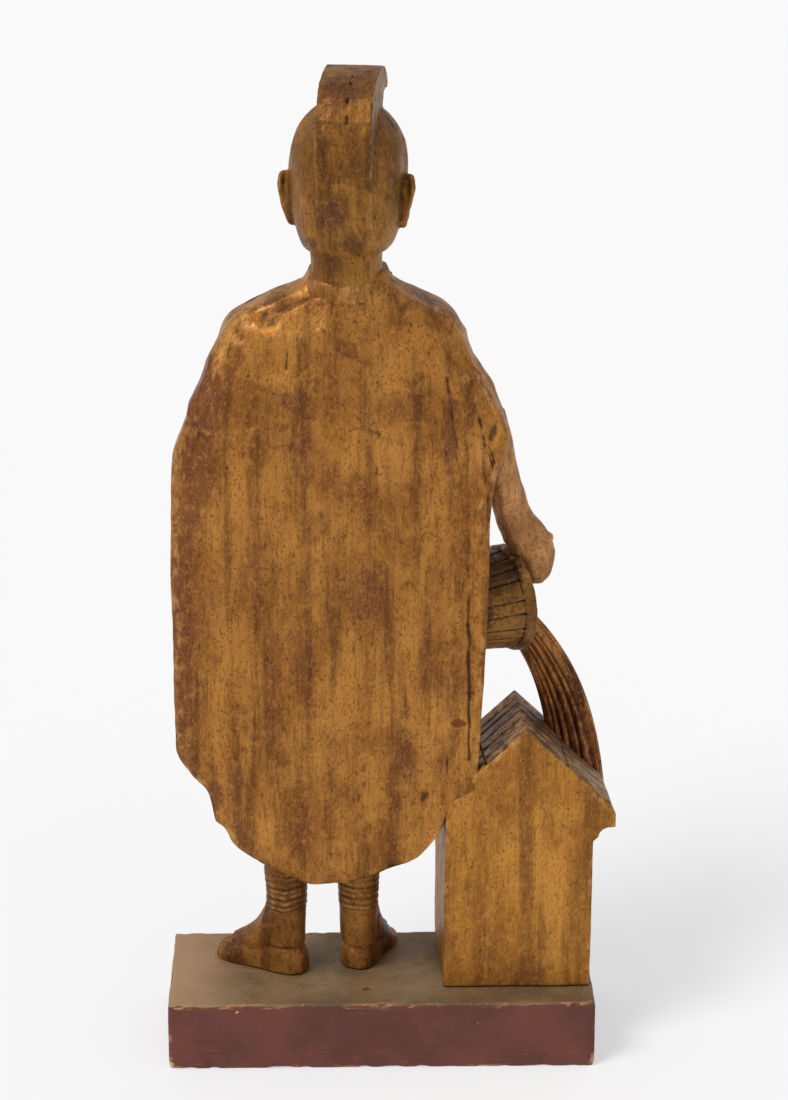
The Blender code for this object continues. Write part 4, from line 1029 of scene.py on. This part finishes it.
def face_relief(points):
    """Height of the carved face at each point, from the shapes and lines of one half, mirrored."""
    c, s = math.cos(HEAD_TURN), math.sin(HEAD_TURN)
    away = points[:, :2] - np.array(HEAD_MIDDLE)
    local = np.column_stack((np.abs(away[:, 0] * c + away[:, 1] * s), points[:, 2]))
    height = np.zeros(len(points))
    for middle, reach, swell in FACE_SWELLS:
        height += swell * patch(local, middle, reach, 1.0)
    for line, half_width, rise in FACE_LINES:
        height += rise * stroke(local, line, half_width)
    ahead = away[:, 1] * c - away[:, 0] * s
    return height * smooth_step(ahead, FACE_FRONT, FACE_FRONT - FACE_FADE)


def on_side(stations, side):
    """Stations drawn for the left, put on one side."""
    return [(side * station[0], *station[1:]) for station in stations]


def make_head(material):
    whole = level_form(SKULL, 96, 70) + level_form(JAW, 72, 50) + level_form(VISOR, 96, 12)
    whole += limb_form(NOSE, 24, 30, (0, 1, 0.01)) + ellipsoid_form(*CHIN)
    for side in (-1, 1):
        for (x, y, z), radii, turn in (NOSTRIL, EAR_INSIDE):
            whole += ellipsoid_form((side * x, y, z), radii, side * turn)
        whole += limb_form(on_side(EAR_RIM, side), 20, 50)
    whole += drawn_out(CREST, CREST_SHIFT - CREST_HALF_WIDTH, CREST_SHIFT + CREST_HALF_WIDTH,
                       lambda depth, y, z: (depth, y, z))
    whole.points = head_place(whole.points)
    whole += level_form(NECK, 72, 30)
    mesh = remeshed("head", whole)
    points = read_points(mesh)
    ahead = 1 - smooth_step(points[:, 1], *BEHIND_FACE)
    height = carved(points, HEAD_CUT, (), HEAD_REST) * (1 - FACE_SPARES_CUTS * ahead)
    for rise, size, seed in HEAD_SWELLS:
        height += rise * waves(points, size, seed) * (1 - FACE_SPARES_SWELLS * ahead)
    for line, half_width, depth in HEAD_LINES:
        height -= depth * stroke(points, head_place(line), half_width)
    push(mesh, height, face_relief(points))
    tones = [((x, HEAD_TONE_Y, z), (wide, HEAD_TONE_REACH, tall), share)
             for (x, z), (wide, tall), share in HEAD_TONES]
    mark_tone(mesh, tones, (0, 1, 2))
    piece("head", mesh, material)


# The trunk

CHEST = ((218, 18, -2, 30, 17), (228, 18, -2.5, 29.5, 16.5), (242, 17.5, -3, 30.5, 17.5),
         (262, 17, -4, 34, 19), (282, 16.5, -4, 38, 19.5), (296, 16.5, -3, 38, 17.5),
         (306, 16.5, -1.5, 34, 14.5), (315, 16, -1, 25, 12.5), (323, 15.5, -1, 16, 11))
SKIRT = ((137, 22, -0.5, 39.5, 20.5), (141, 22, -0.5, 39, 20.5), (170, 21, -1, 36, 19.5),
         (200, 19, -1.5, 32.5, 18.5), (226, 18, -2, 30.5, 17.5))
BELT = ((221, 18, -2, 31.8, 18.6), (231, 18, -2.4, 31.5, 18.4))
COLLAR = ((319, 15, 0.5, 18.4, 13.3), (326, 15, 1, 17.4, 13.6), (329.5, 15, 1, 16.2, 12.9))
TRUNK_SQUARENESS = 2.3
CLASP = ((3.0, -15.0, 318.0), (6.5, 3.2, 6.5))
STRIPS = 7
STRIP_SPREAD = math.radians(68)
TRUNK_CUT = (0.30, (12, 12, 22), 51)
TRUNK_SWELLS = ((0.12, (14, 14, 26), 52),)
TRUNK_REST = 0.15
# Where the skirt's strips lie, top and bottom: height, middle, reaches, half width and half depth
STRIP_RINGS = ((222, 18, -2, 30.8, 17.9, 3.6, 1.3), (139, 22, -0.5, 39.6, 20.9, 4.7, 1.5))


def strip_form(angle):
    """One leather strip of the skirt, at an angle round the trunk."""
    stations = []
    for z, x, y, reach_x, reach_y, half_width, half_depth in STRIP_RINGS:
        stations.append((x + reach_x * math.sin(angle), y - reach_y * math.cos(angle), z,
                         half_width, half_depth))
    return limb_form(stations, 24, 40, (math.sin(angle), -math.cos(angle), 0))


def make_trunk(material):
    whole = level_form(CHEST, 96, 70, TRUNK_SQUARENESS) + level_form(SKIRT, 96, 50, TRUNK_SQUARENESS)
    whole += level_form(BELT, 96, 10, TRUNK_SQUARENESS) + level_form(COLLAR, 96, 12)
    whole += ellipsoid_form(*CLASP)
    for i in range(STRIPS):
        whole += strip_form(STRIP_SPREAD * ((i + 0.5) / STRIPS * 2 - 1))
    mesh = remeshed("trunk", whole)
    push(mesh, carved(read_points(mesh), TRUNK_CUT, TRUNK_SWELLS, TRUNK_REST))
    piece("trunk", mesh, material)


# Legs and feet

LEFT_LEG = ((43.5, 0.0, 14, 8.8, 8.4), (43.2, 1.0, 40, 9.2, 9.0), (43.5, 1.5, 53, 9.9, 9.9),
            (43.5, 2.0, 80, 11.0, 11.0), (40.5, -1.0, 106, 10.5, 10.5), (33.0, 0.0, 150, 13.0, 13.0))
RIGHT_LEG = ((10.2, -2.0, 14, 8.4, 8.4), (10.3, 0.5, 40, 9.0, 9.0), (10.3, 1.5, 53, 9.9, 9.9),
             (10.2, 2.0, 80, 11.0, 11.0), (10.0, -1.0, 106, 10.5, 10.5), (12.0, 0.0, 150, 13.0, 13.0))
FOOT = ((-2.0, 3.5, 9.0), (0.5, 6.5, 14.0), (5.0, 8.2, 19.5), (11.0, 8.8, 22.0), (18.0, 9.0, 20.0),
        (25.0, 9.6, 15.5), (32.0, 10.4, 11.5), (38.0, 9.8, 8.5), (42.0, 7.6, 6.5), (44.0, 4.5, 4.5))
SOLE_EDGE = 1.2
LEFT_FOOT = ((36.5, 3.5), math.radians(59), 44.0)
RIGHT_FOOT = ((12.5, 1.0), math.radians(-21), 38.0)
# The grooves between the ankle's bands: height, half width and depth
BAND_GROOVES = ((52.0, 0.45, 0.6), (48.6, 0.4, 0.5), (45.3, 0.5, 0.7), (42.9, 0.35, 0.5),
                (39.6, 0.5, 0.7), (36.2, 0.4, 0.6), (33.4, 0.5, 0.7))
BANDS_LOW, BANDS_HIGH = 32.0, 54.0
BAND_PROUD = 0.45
BAND_LEAN = 0.05
BETWEEN_LEGS_X = 27
FOOT_ROWS, FOOT_ARCH, FOOT_SOLE = 70, 40, 16
TOE_GAPS = (-5.6, -2.2, 1.2, 4.4)
TOE_GAP_WIDTH = 1.1
TOE_GAP_DEPTH = 0.8
LEG_CUT = (0.14, (8, 8, 14), 61)
LEG_SWELLS = ((0.10, (9, 9, 16), 62),)
LEG_REST = 0.08
BAND_WANDER = (0.35, (12, 12, 40), 63)


def foot_form(heel, splay, length):
    """A flat-soled foot from the back of its heel to the toes."""
    rows = np.array(FOOT)
    t = np.linspace(rows[0, 0], rows[-1, 0], FOOT_ROWS)
    half_width = smooth_through(rows[:, :2])(t)
    height = smooth_through(rows[:, (0, 2)])(t)
    angle = np.linspace(0, math.pi, FOOT_ARCH)
    ahead_x, ahead_y = math.sin(splay), -math.cos(splay)
    rings = []
    for distance, wide, tall in zip(t, half_width, height):
        along = distance * length / rows[-1, 0]
        across = np.concatenate((wide * np.cos(angle), np.linspace(-0.94, 0.94, FOOT_SOLE) * wide))
        up = np.concatenate((SOLE_EDGE + (tall - SOLE_EDGE) * np.sin(angle) ** 0.8,
                             np.zeros(FOOT_SOLE)))
        rings.append(np.column_stack((heel[0] + ahead_x * along - ahead_y * across,
                                      heel[1] + ahead_y * along + ahead_x * across, up)))
    return lofted(rings)


# The instep's fall from the shin to the toes: distance ahead of the ankle, height and radius
INSTEP = ((0.0, 32.0, 8.6), (5.0, 22.0, 9.0), (12.0, 13.5, 8.6), (20.0, 9.0, 7.2), (28.0, 6.0, 5.2))


def instep_form(ankle, splay):
    c, s = math.cos(splay), math.sin(splay)
    stations = [(ankle[0] + s * ahead, ankle[1] - c * ahead, up, radius, radius)
                for ahead, up, radius in INSTEP]
    return limb_form(stations, 40, 40, (c, s, 0))


def toe_grooves(points, heel, splay, length):
    """How deep the grooves between the toes are at each point of a foot."""
    c, s = math.cos(splay), math.sin(splay)
    away = points[:, :2] - np.array(heel)
    along = away @ np.array((s, -c)) / length
    across = away @ np.array((c, s))
    total = sum(bump(across, place, TOE_GAP_WIDTH) for place in TOE_GAPS)
    return total * smooth_step(along, 0.70, 0.84) * (along < 1.1) * smooth_step(points[:, 2], 1.5, 4.0)


def make_legs(material):
    whole = limb_form(LEFT_LEG, 64, 90) + limb_form(RIGHT_LEG, 64, 90)
    whole += foot_form(*LEFT_FOOT) + foot_form(*RIGHT_FOOT)
    whole += instep_form(LEFT_LEG[0], LEFT_FOOT[1]) + instep_form(RIGHT_LEG[0], RIGHT_FOOT[1])
    mesh = remeshed("legs", whole)
    points = read_points(mesh)
    x, z = points[:, 0], points[:, 2]
    height = carved(points, LEG_CUT, LEG_SWELLS, LEG_REST)
    rise, size, seed = BAND_WANDER
    level = z + BAND_LEAN * np.abs(x - BETWEEN_LEGS_X) + rise * waves(points, size, seed)
    height += (BAND_PROUD * smooth_step(level, BANDS_LOW, BANDS_LOW + 1)
               * smooth_step(level, BANDS_HIGH, BANDS_HIGH - 1))
    for middle, half_width, depth in BAND_GROOVES:
        height -= depth * bump(level, middle, half_width * 2)
    for foot in (LEFT_FOOT, RIGHT_FOOT):
        height -= TOE_GAP_DEPTH * toe_grooves(points, *foot)
    push(mesh, height * smooth_step(z, 0.2, 1.5))
    piece("legs", mesh, material)


# Arms and hands

RIGHT_UPPER_ARM = ((-14, -1, 304, 11, 11), (-27, -1, 291, 12, 12), (-38.5, -3, 275, 11.5, 11),
                   (-44.5, -4, 262, 9.5, 10), (-47, -5, 252, 8.0, 8))
RIGHT_FOREARM = ((-45.5, -3, 266, 8.8, 9), (-49.5, -5, 252, 8.6, 8.6), (-52.2, -7, 240, 8.1, 8.0),
                 (-55.8, -9, 227, 8.1, 7.6), (-59.5, -10.5, 216, 8.4, 7.2), (-63.0, -11, 208, 9.4, 7.5))
RIGHT_HAND = ((-61.5, -10.5, 212, 8.8, 7.2), (-65.8, -11, 205, 9.8, 7.4), (-68.8, -12, 198, 9.4, 7.4),
              (-69.6, -13, 191, 7.2, 6.6), (-68.5, -14, 185.5, 4.2, 4.6))
RIGHT_PALM = ((-69.0, -16.5, 193.5), (5.6, 6.4, 11.0))
RIGHT_KNUCKLES = (((-73.4, -10.5, 206.5), (3.6, 3.6, 3.0)), ((-75.0, -11.5, 199.8), (3.2, 3.6, 3.0)),
                  ((-73.6, -12.5, 193.4), (3.2, 3.6, 3.0)), ((-71.6, -13.5, 187.6), (3.0, 3.4, 2.8)))
LEFT_UPPER_ARM = ((40, -1, 300, 11, 10.5), (56, -2, 288, 12, 11.5), (71.5, -4, 266, 11, 11.5),
                  (78, -7, 252, 9.5, 11), (77.5, -10, 244, 8.0, 9))
LEFT_FOREARM = ((78, -7, 254, 9, 10), (73, -13, 245, 8.2, 8.5), (63, -19, 237, 7.3, 7.5),
                (54, -22, 232, 6.2, 6.4))
LEFT_HAND = ((56, -21, 233, 6.2, 5.6), (50, -23, 230, 7.8, 5.4), (44, -23.5, 227, 7.6, 5.0),
             (39, -22.5, 224, 5.4, 4.0))
LEFT_ARM_CROSS = (0, 0.3, 1)
FINGERS = 4
RIGHT_ARM_CUT, RIGHT_ARM_SWELLS = (0.25, (9, 9, 14), 71), ((0.12, (7, 7, 12), 76),)
LEFT_ARM_CUT, LEFT_ARM_SWELLS = (0.25, (9, 9, 14), 72), ((0.12, (7, 7, 12), 77),)
ARM_REST = 0.12
RIGHT_FINGER = ((-73.0, -10.0, 203.0, 3.2, 3.2), (-74.5, -16.0, 201.0, 3.3, 3.2),
                (-71.0, -21.5, 199.0, 3.1, 3.1), (-64.5, -22.5, 197.5, 2.7, 2.7))
RIGHT_FINGER_STEP = ((0.9, -0.8, -5.0, 0, 0), (1.2, 0.0, -5.0, 0, 0), (0.9, 0.0, -5.0, 0, 0),
                     (0.0, 0.0, -5.0, 0, 0))
LEFT_FINGER = ((42.0, -24.5, 233.0, 2.5, 2.6), (36.5, -26.0, 231.5, 2.6, 2.6),
               (31.5, -23.5, 230.0, 2.3, 2.3))
LEFT_FINGER_STEP = ((0.0, 0.0, -4.4, 0, 0),) * 3


def finger_forms(first, step):
    """Fingers in a row, each set off from the one before it by a step."""
    return joined([limb_form(np.array(first) + i * np.array(step), 20, 36, (0, 0, 1))
                   for i in range(FINGERS)])


def make_arms(material):
    right = limb_form(RIGHT_UPPER_ARM, 48, 50) + limb_form(RIGHT_FOREARM, 48, 50)
    right += limb_form(RIGHT_HAND, 40, 40) + ellipsoid_form(*RIGHT_PALM)
    right += finger_forms(RIGHT_FINGER, RIGHT_FINGER_STEP)
    for knuckle in RIGHT_KNUCKLES:
        right += ellipsoid_form(*knuckle)
    left = limb_form(LEFT_UPPER_ARM, 48, 50) + limb_form(LEFT_FOREARM, 48, 40, LEFT_ARM_CROSS)
    left += limb_form(LEFT_HAND, 40, 30, LEFT_ARM_CROSS) + finger_forms(LEFT_FINGER, LEFT_FINGER_STEP)
    for name, whole, cut, swells in (("right_arm", right, RIGHT_ARM_CUT, RIGHT_ARM_SWELLS),
                                     ("left_arm", left, LEFT_ARM_CUT, LEFT_ARM_SWELLS)):
        mesh = remeshed(name, whole)
        push(mesh, carved(read_points(mesh), cut, swells, ARM_REST))
        piece(name, mesh, material)


# The bucket and the water

RIM_CENTRE = np.array((-59.3, -15.0, 177.3))
BUCKET_AXIS = np.array((-0.906, -0.419, 0.056)) / np.linalg.norm((-0.906, -0.419, 0.056))
RIM_RADIUS = 24.3
BASE_RADIUS = 19.5
BUCKET_LENGTH = 31.0
BUCKET_WALL = 2.6
BUCKET_RECESS = 8.0
HOOP_WIDTH = 4.2
HOOP_PROUD = 0.9
STAVES = 20
STAVE_GROOVE = 0.7
BUCKET_SIDES = 256
STAVE_GAP = 0.88
STAVE_SHIFT = 0.24
STAVE_RISES = (-0.25, 0.1)
STAVE_LEAN = 0.25
STAVE_ROWS, RECESS_ROWS, FLOOR_ROWS, BASE_ROWS = 60, 14, 22, 20
BASE_INSET = 0.8
CENTRE_SHARE = 0.04
BUCKET_SWELLS = ((0.05, (5, 5, 5), 82), (0.03, (1.6, 1.6, 1.6), 83))
# The hoop and the rim: distance behind the rim's plane and inset from its radius
HOOP_RINGS = ((HOOP_WIDTH, 0.35), (HOOP_WIDTH - 0.4, 0.05), (HOOP_WIDTH / 2, 0.0), (0.5, 0.0),
              (0.1, 0.3), (0.0, 0.7), (0.0, BUCKET_WALL - 0.4))
# Painted shade on the bucket under the hand, and a lighter patch lower down: middle (x, height), reaches and
# share
BUCKET_TONES = (((-45, 195), (24, 12), -1.2), ((-50, 162), (30, 12), 0.6))


def bucket_place(back, radius, angle):
    """A ring of places a distance behind the rim's plane, radius and angle about the axis."""
    across = np.cross(BUCKET_AXIS, (0, 0, 1))
    across /= np.linalg.norm(across)
    upward = np.cross(across, BUCKET_AXIS)
    return (RIM_CENTRE - BUCKET_AXIS * back + np.outer(radius * np.cos(angle), across)
            + np.outer(radius * np.sin(angle), upward))


def make_bucket(material):
    """Base, staves, hoop, rim and the shallow recess inside it, as rings about one axis."""
    rng = np.random.default_rng(81)
    shifts = rng.uniform(-STAVE_SHIFT, STAVE_SHIFT, STAVES)
    seams = np.sort((np.arange(STAVES) + shifts) * math.tau / STAVES)
    rises = rng.uniform(*STAVE_RISES, STAVES + 1)
    leans = rng.uniform(-STAVE_LEAN, STAVE_LEAN, STAVES + 1)
    angle = np.arange(BUCKET_SIDES) * math.tau / BUCKET_SIDES
    stave = np.searchsorted(seams, angle) % STAVES
    gap = np.min(np.abs((angle[:, None] - seams[None, :] + math.pi) % math.tau - math.pi), axis=1)
    taper = (RIM_RADIUS - BASE_RADIUS) / BUCKET_LENGTH
    rings = []
    for share in np.linspace(CENTRE_SHARE, 1, BASE_ROWS):
        reach = np.full(BUCKET_SIDES, share * (BASE_RADIUS - BASE_INSET))
        rings.append(bucket_place(BUCKET_LENGTH, reach, angle))
    for back in np.linspace(BUCKET_LENGTH - 0.2, HOOP_WIDTH + 0.5, STAVE_ROWS):
        radius = RIM_RADIUS - HOOP_PROUD - taper * back
        wall = radius + rises[stave] + leans[stave] * (back / BUCKET_LENGTH - 0.5)
        wall = wall - STAVE_GROOVE * bump(gap, 0.0, STAVE_GAP / radius)
        rings.append(bucket_place(back, wall, angle))
    inside = [(back, BUCKET_WALL + taper * back)
              for back in np.linspace(0.5, BUCKET_RECESS, RECESS_ROWS)]
    floor = np.linspace(inside[-1][1] + BASE_INSET, RIM_RADIUS - 1, FLOOR_ROWS)
    inside += [(BUCKET_RECESS, inset) for inset in floor]
    for back, inset in (*HOOP_RINGS, *inside):
        wobble = 0.12 * np.sin(angle * 5 + back) + 0.08 * np.sin(angle * 11 + 2)
        rings.append(bucket_place(back, RIM_RADIUS - inset - 0.1 + wobble, angle))
    mesh = make_mesh("bucket", lofted(rings))
    points = read_points(mesh)
    push(mesh, *(rise * waves(points, size, seed) for rise, size, seed in BUCKET_SWELLS))
    mark_tone(mesh, BUCKET_TONES, (0, 2))
    piece("bucket", mesh, material)


STREAM_START = np.array((-60.0, -18.0, 167.0))
STREAM_LEAVES = np.array((-73.0, -19.0, 153.0))
STREAM_BENDS = np.array((-88.8, -19.5, 131.0))
WATER_TOP_HALF_WIDTH = 7.5
WATER_FOOT_HALF_WIDTH = 13.4
WATER_WIDENING = 1.35
WATER_HALF_DEPTH = 7.2
WATER_SINK = 26.0
WATER_LANDS_INSIDE = 4.8
WATER_ROWS = 130
WATER_SIDES = 200
FLUTE_DEPTH = 1.5
FLUTES = 17
STRAY_RIDGES = 5
STRAY_COUNTS = (3, 9)
STRAY_DRIFT = 2.2
FLUTE_SWAY = 1.2
FLUTE_STRAY = 0.35
FLUTE_SHARPNESS = 0.8
STRAY_DEPTH = 0.12


def make_water(material):
    """The fluted stream, with ridges that wander, split and end in loose tongues on the roof."""
    land_x = HOUSE_OUTER_X + WATER_LANDS_INSIDE
    land = np.array((land_x, STREAM_BENDS[1], roof_height(land_x) - WATER_SINK))
    t = np.linspace(0, 1, WATER_ROWS)[:, None]
    path = (STREAM_START * (1 - t) ** 3 + STREAM_LEAVES * 3 * t * (1 - t) ** 2
            + STREAM_BENDS * 3 * t * t * (1 - t) + land * t ** 3)
    rng = np.random.default_rng(91)
    ridges = [(rng.integers(*STRAY_COUNTS), rng.uniform(0, math.tau), rng.uniform(-STRAY_DRIFT, STRAY_DRIFT))
              for _ in range(STRAY_RIDGES)]
    angle = np.arange(WATER_SIDES) * math.tau / WATER_SIDES
    rings = []
    for i, point in enumerate(path):
        share = float(t[i, 0])
        along = path[min(i + 1, WATER_ROWS - 1)] - path[max(i - 1, 0)]
        side = np.cross(along, (0, 1, 0))
        side /= np.linalg.norm(side)
        half_width = (WATER_TOP_HALF_WIDTH
                      + (WATER_FOOT_HALF_WIDTH - WATER_TOP_HALF_WIDTH) * share ** WATER_WIDENING)
        stray = sum(np.sin(count * angle + start + drift * share) for count, start, drift in ridges)
        sway = FLUTE_SWAY * math.sin(share * 5)
        main = np.abs(np.sin((angle * FLUTES + sway) / 2 + FLUTE_STRAY * stray)) ** FLUTE_SHARPNESS
        cut = FLUTE_DEPTH * (1 - main) * (0.6 + 0.6 * share) + STRAY_DEPTH * (stray + 3) / 3
        cut = np.clip(cut, 0, None)
        rings.append(point + np.outer((half_width - cut) * np.cos(angle), side)
                     + np.outer((WATER_HALF_DEPTH - cut) * np.sin(angle), (0, 1, 0)))
    piece("water", make_mesh("water", lofted(rings)), material)


# The plinth

PLINTH_SIZE = (194.0, 75.0, 32.0)
PLINTH_GAP = 0.3
PLINTH_EDGE = (0.4, 2.4)
EDGE_WEAR = (0.35, (9, 9, 9), 101)
FACE_HOLLOWS = (0.05, (28, 28, 20), 102)
WEAR_SPREAD = 0.2
NICK_REACH = 6.0
# Nicks along the plinth's rear top edge: place along it, half width and depth
PLINTH_NICKS = ((-0.5, 1.6, 1.0), (47.5, 1.2, 0.9), (65.0, 1.0, 0.8), (-88.0, 2.0, 1.0),
                (92.0, 2.6, 1.2), (18.0, 0.9, 0.6), (-24.0, 1.2, 0.5), (-70.0, 1.0, 0.6))
# Pale nicks (over nothing) and dark spots (under it) on the plinth: middle, three reaches and share
PLINTH_TONES = (
    ((-0.2, 37.5, -1.2), (0.5, 2.0, 2.2), 2.0), ((48.0, 37.5, -0.6), (1.6, 2.0, 0.8), 2.0),
    ((65.5, 37.5, -3.6), (1.0, 2.0, 0.6), 2.0), ((-44.0, 37.5, -4.0), (0.35, 2.0, 1.0), 2.0),
    ((-44.2, 37.5, -7.2), (0.35, 2.0, 0.9), 2.0), ((-43.8, 37.5, -10.0), (0.4, 2.0, 0.6), 2.0),
    ((-74.0, 37.5, -7.0), (0.6, 2.0, 0.5), 2.0), ((-71.0, 37.5, -6.0), (0.5, 2.0, 0.4), 2.0),
    ((-38.0, 37.5, -22.0), (0.6, 2.0, 0.4), 2.0), ((-22.0, 37.5, -23.0), (0.5, 2.0, 0.4), 1.8),
    ((7.0, 22.0, -0.3), (2.6, 2.0, 3.0), -2.0), ((14.0, 26.0, -0.3), (0.7, 0.6, 3.0), -2.0),
    ((96.0, 36.0, -30.0), (3.0, 3.0, 2.6), 1.4), ((-96.0, 36.0, -29.0), (2.0, 3.0, 5.0), 1.0),
    ((52.0, 36.0, -0.3), (34.0, 1.0, 0.6), 0.8), ((-20.0, 36.6, -0.3), (20.0, 0.8, 0.6), 0.8),
)


def make_plinth(material):
    length, depth, height = PLINTH_SIZE
    top = -PLINTH_GAP
    low, high = (-length / 2, -depth / 2, top - height), (length / 2, depth / 2, top)
    board = drawn_out([(low[0], low[2]), (high[0], low[2]), (high[0], high[2]), (low[0], high[2])],
                      low[1], high[1], flat_place)
    mesh = remeshed("plinth", board)
    points = read_points(mesh)
    to_edge = np.sort(np.column_stack([np.minimum(points[:, k] - low[k], high[k] - points[:, k])
                                       for k in range(3)]), axis=1)[:, 1]
    near = 1 - smooth_step(to_edge, *PLINTH_EDGE)
    deep, size, seed = EDGE_WEAR
    change = -deep * near * np.clip(waves(points, size, seed) + WEAR_SPREAD, 0, 2)
    deep, size, seed = FACE_HOLLOWS
    change -= deep * np.clip(waves(points, size, seed), 0, 2)
    rear = (points[:, 1] > 0) * (points[:, 2] > top - NICK_REACH)
    for place, half_width, deep in PLINTH_NICKS:
        change -= deep * bump(points[:, 0], place, half_width * 2) * rear * near
    push(mesh, change)
    mark_tone(mesh, PLINTH_TONES, (0, 1, 2))
    piece("plinth_board", mesh, material, "plinth", "plinth")


# Floor, light and camera

CAMERA_PLACE = (0.0210, 1.2332, 0.6608)
CAMERA_FOCUS = 2950.0
CAMERA_PITCH = math.radians(18.967)
CAMERA_YAW = math.radians(-1.239)
CAMERA_ROLL = math.radians(0.16)
PHOTO_HEIGHT = 1100
SENSOR_HEIGHT = 36.0
PAPER = (247, 247, 248)
FLOOR_LIT = 0.5
FLOOR_REACH = 40.0
WORLD_STRENGTH = 0.62
SUN_STRENGTH = 1.85
SUN_SPREAD = 24.0
SUN_FROM = (0.95, 0.75, 1.35)
SUN_COLOUR = (1.0, 0.975, 0.94)
WORLD_COLOUR = (0.965, 0.975, 1.0, 1.0)
PAPER_ROUGHNESS = 0.9
PAPER_GLOSS = 0.1


def add_camera():
    cp, sp = math.cos(CAMERA_PITCH), math.sin(CAMERA_PITCH)
    cy, sy = math.cos(CAMERA_YAW), math.sin(CAMERA_YAW)
    ahead = Vector((sy * cp, -cy * cp, -sp))
    right = Vector((-cy, -sy, 0))
    up = right.cross(ahead)
    cr, sr = math.cos(CAMERA_ROLL), math.sin(CAMERA_ROLL)
    right, up = right * cr + up * sr, up * cr - right * sr
    lens = bpy.data.cameras.new("camera")
    lens.sensor_fit = "VERTICAL"
    lens.sensor_height = SENSOR_HEIGHT
    lens.lens = SENSOR_HEIGHT * CAMERA_FOCUS / PHOTO_HEIGHT
    camera = placed("camera", lens)
    pose = Matrix((right, up, -ahead)).transposed().to_4x4()
    pose.translation = Vector(CAMERA_PLACE)
    camera.matrix_world = pose
    bpy.context.scene.camera = camera


def add_stage():
    mesh = bpy.data.meshes.new("floor")
    corners = [(x * FLOOR_REACH, y * FLOOR_REACH, 0) for x, y in ((-1, -1), (1, -1), (1, 1), (-1, 1))]
    mesh.from_pydata(corners, [], [(0, 1, 2, 3)])
    floor = placed("floor", mesh)
    paper = bpy.data.materials.new("paper")
    paper.use_nodes = True
    shader = paper.node_tree.nodes["Principled BSDF"]
    shader.inputs["Base Color"].default_value = (*[FLOOR_LIT * c for c in linear(PAPER)[:3]], 1.0)
    shader.inputs["Emission Color"].default_value = linear(PAPER)
    shader.inputs["Emission Strength"].default_value = 1 - FLOOR_LIT
    shader.inputs["Roughness"].default_value = PAPER_ROUGHNESS
    shader.inputs["Specular IOR Level"].default_value = PAPER_GLOSS
    floor.data.materials.append(paper)
    world = bpy.data.worlds.new("studio")
    world.use_nodes = True
    bpy.context.scene.world = world
    background = world.node_tree.nodes["Background"]
    background.inputs["Color"].default_value = WORLD_COLOUR
    background.inputs["Strength"].default_value = WORLD_STRENGTH
    sun = bpy.data.lights.new("key", "SUN")
    sun.energy = SUN_STRENGTH
    sun.angle = math.radians(SUN_SPREAD)
    sun.color = SUN_COLOUR
    holder = placed("key", sun)
    holder.rotation_euler = Vector(SUN_FROM).to_track_quat("Z", "Y").to_euler()
    bpy.context.scene.view_settings.view_transform = "Standard"


def main():
    add_camera()
    add_stage()
    wall = gilt_wood("wall_gilt", (154, 100, 36), (192, 134, 56), (112, 68, 26), (126, 76, 38),
                     shift=(6.0, 1.0, 2.0))
    gold = gilt_wood("gilt_wood", (139, 88, 33), (182, 125, 55), (88, 47, 18), (112, 64, 36))
    pale = gilt_wood("head_gilt", (124, 80, 28), (160, 110, 44), (74, 42, 16), (92, 54, 34),
                     grain=(1.6, 1.6, 6.0), shift=(2.0, 1.0, 3.0))
    # The legs and feet are painted darker than the cape, partly their own colour and partly painted shade,
    # as they stand under the cape's hem.
    skin = gilt_wood("leg_gilt", (112, 68, 24), (156, 104, 46), (64, 34, 14), (84, 48, 28),
                     grain=(1.4, 1.4, 5.0), hollow_dark=1.0, shift=(5.0, 2.0, 1.0))
    sleeve = gilt_wood("arm_gilt", (156, 108, 62), (200, 144, 90), (108, 68, 38), (130, 84, 56),
                       grain=(1.4, 1.4, 5.0), hollow_dark=1.0, shift=(3.0, 8.0, 1.0))
    dull = gilt_wood("roof_paint", (92, 62, 42), (132, 98, 68), (56, 36, 26), (80, 56, 46),
                     grain=(5.0, 1.4, 5.0), hollow_dark=1.0, shift=(1.0, 7.0, 2.0))
    brown = gilt_wood("bucket_gilt", (98, 62, 24), (146, 100, 44), (50, 28, 12), (72, 44, 28),
                      grain=(6.0, 3.0, 1.2), hollow_dark=1.0, shift=(4.0, 4.0, 1.0))
    red = gilt_wood("water_gilt", (122, 68, 30), (190, 130, 66), (52, 26, 12), (90, 46, 28),
                    grain=(1.4, 1.4, 8.0), hollow_dark=1.0, metallic=0.6, roughness=0.38, shift=(1.0, 3.0, 6.0))
    make_cape(gold)
    make_house(wall)
    make_roof(dull)
    make_head(pale)
    make_trunk(gold)
    make_legs(skin)
    make_arms(sleeve)
    make_bucket(brown)
    make_water(red)
    make_plinth(plinth_paint())
    for made, stands_for, slot in PIECES:
        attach(made, "root")
        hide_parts(stands_for)
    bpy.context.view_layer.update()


main()
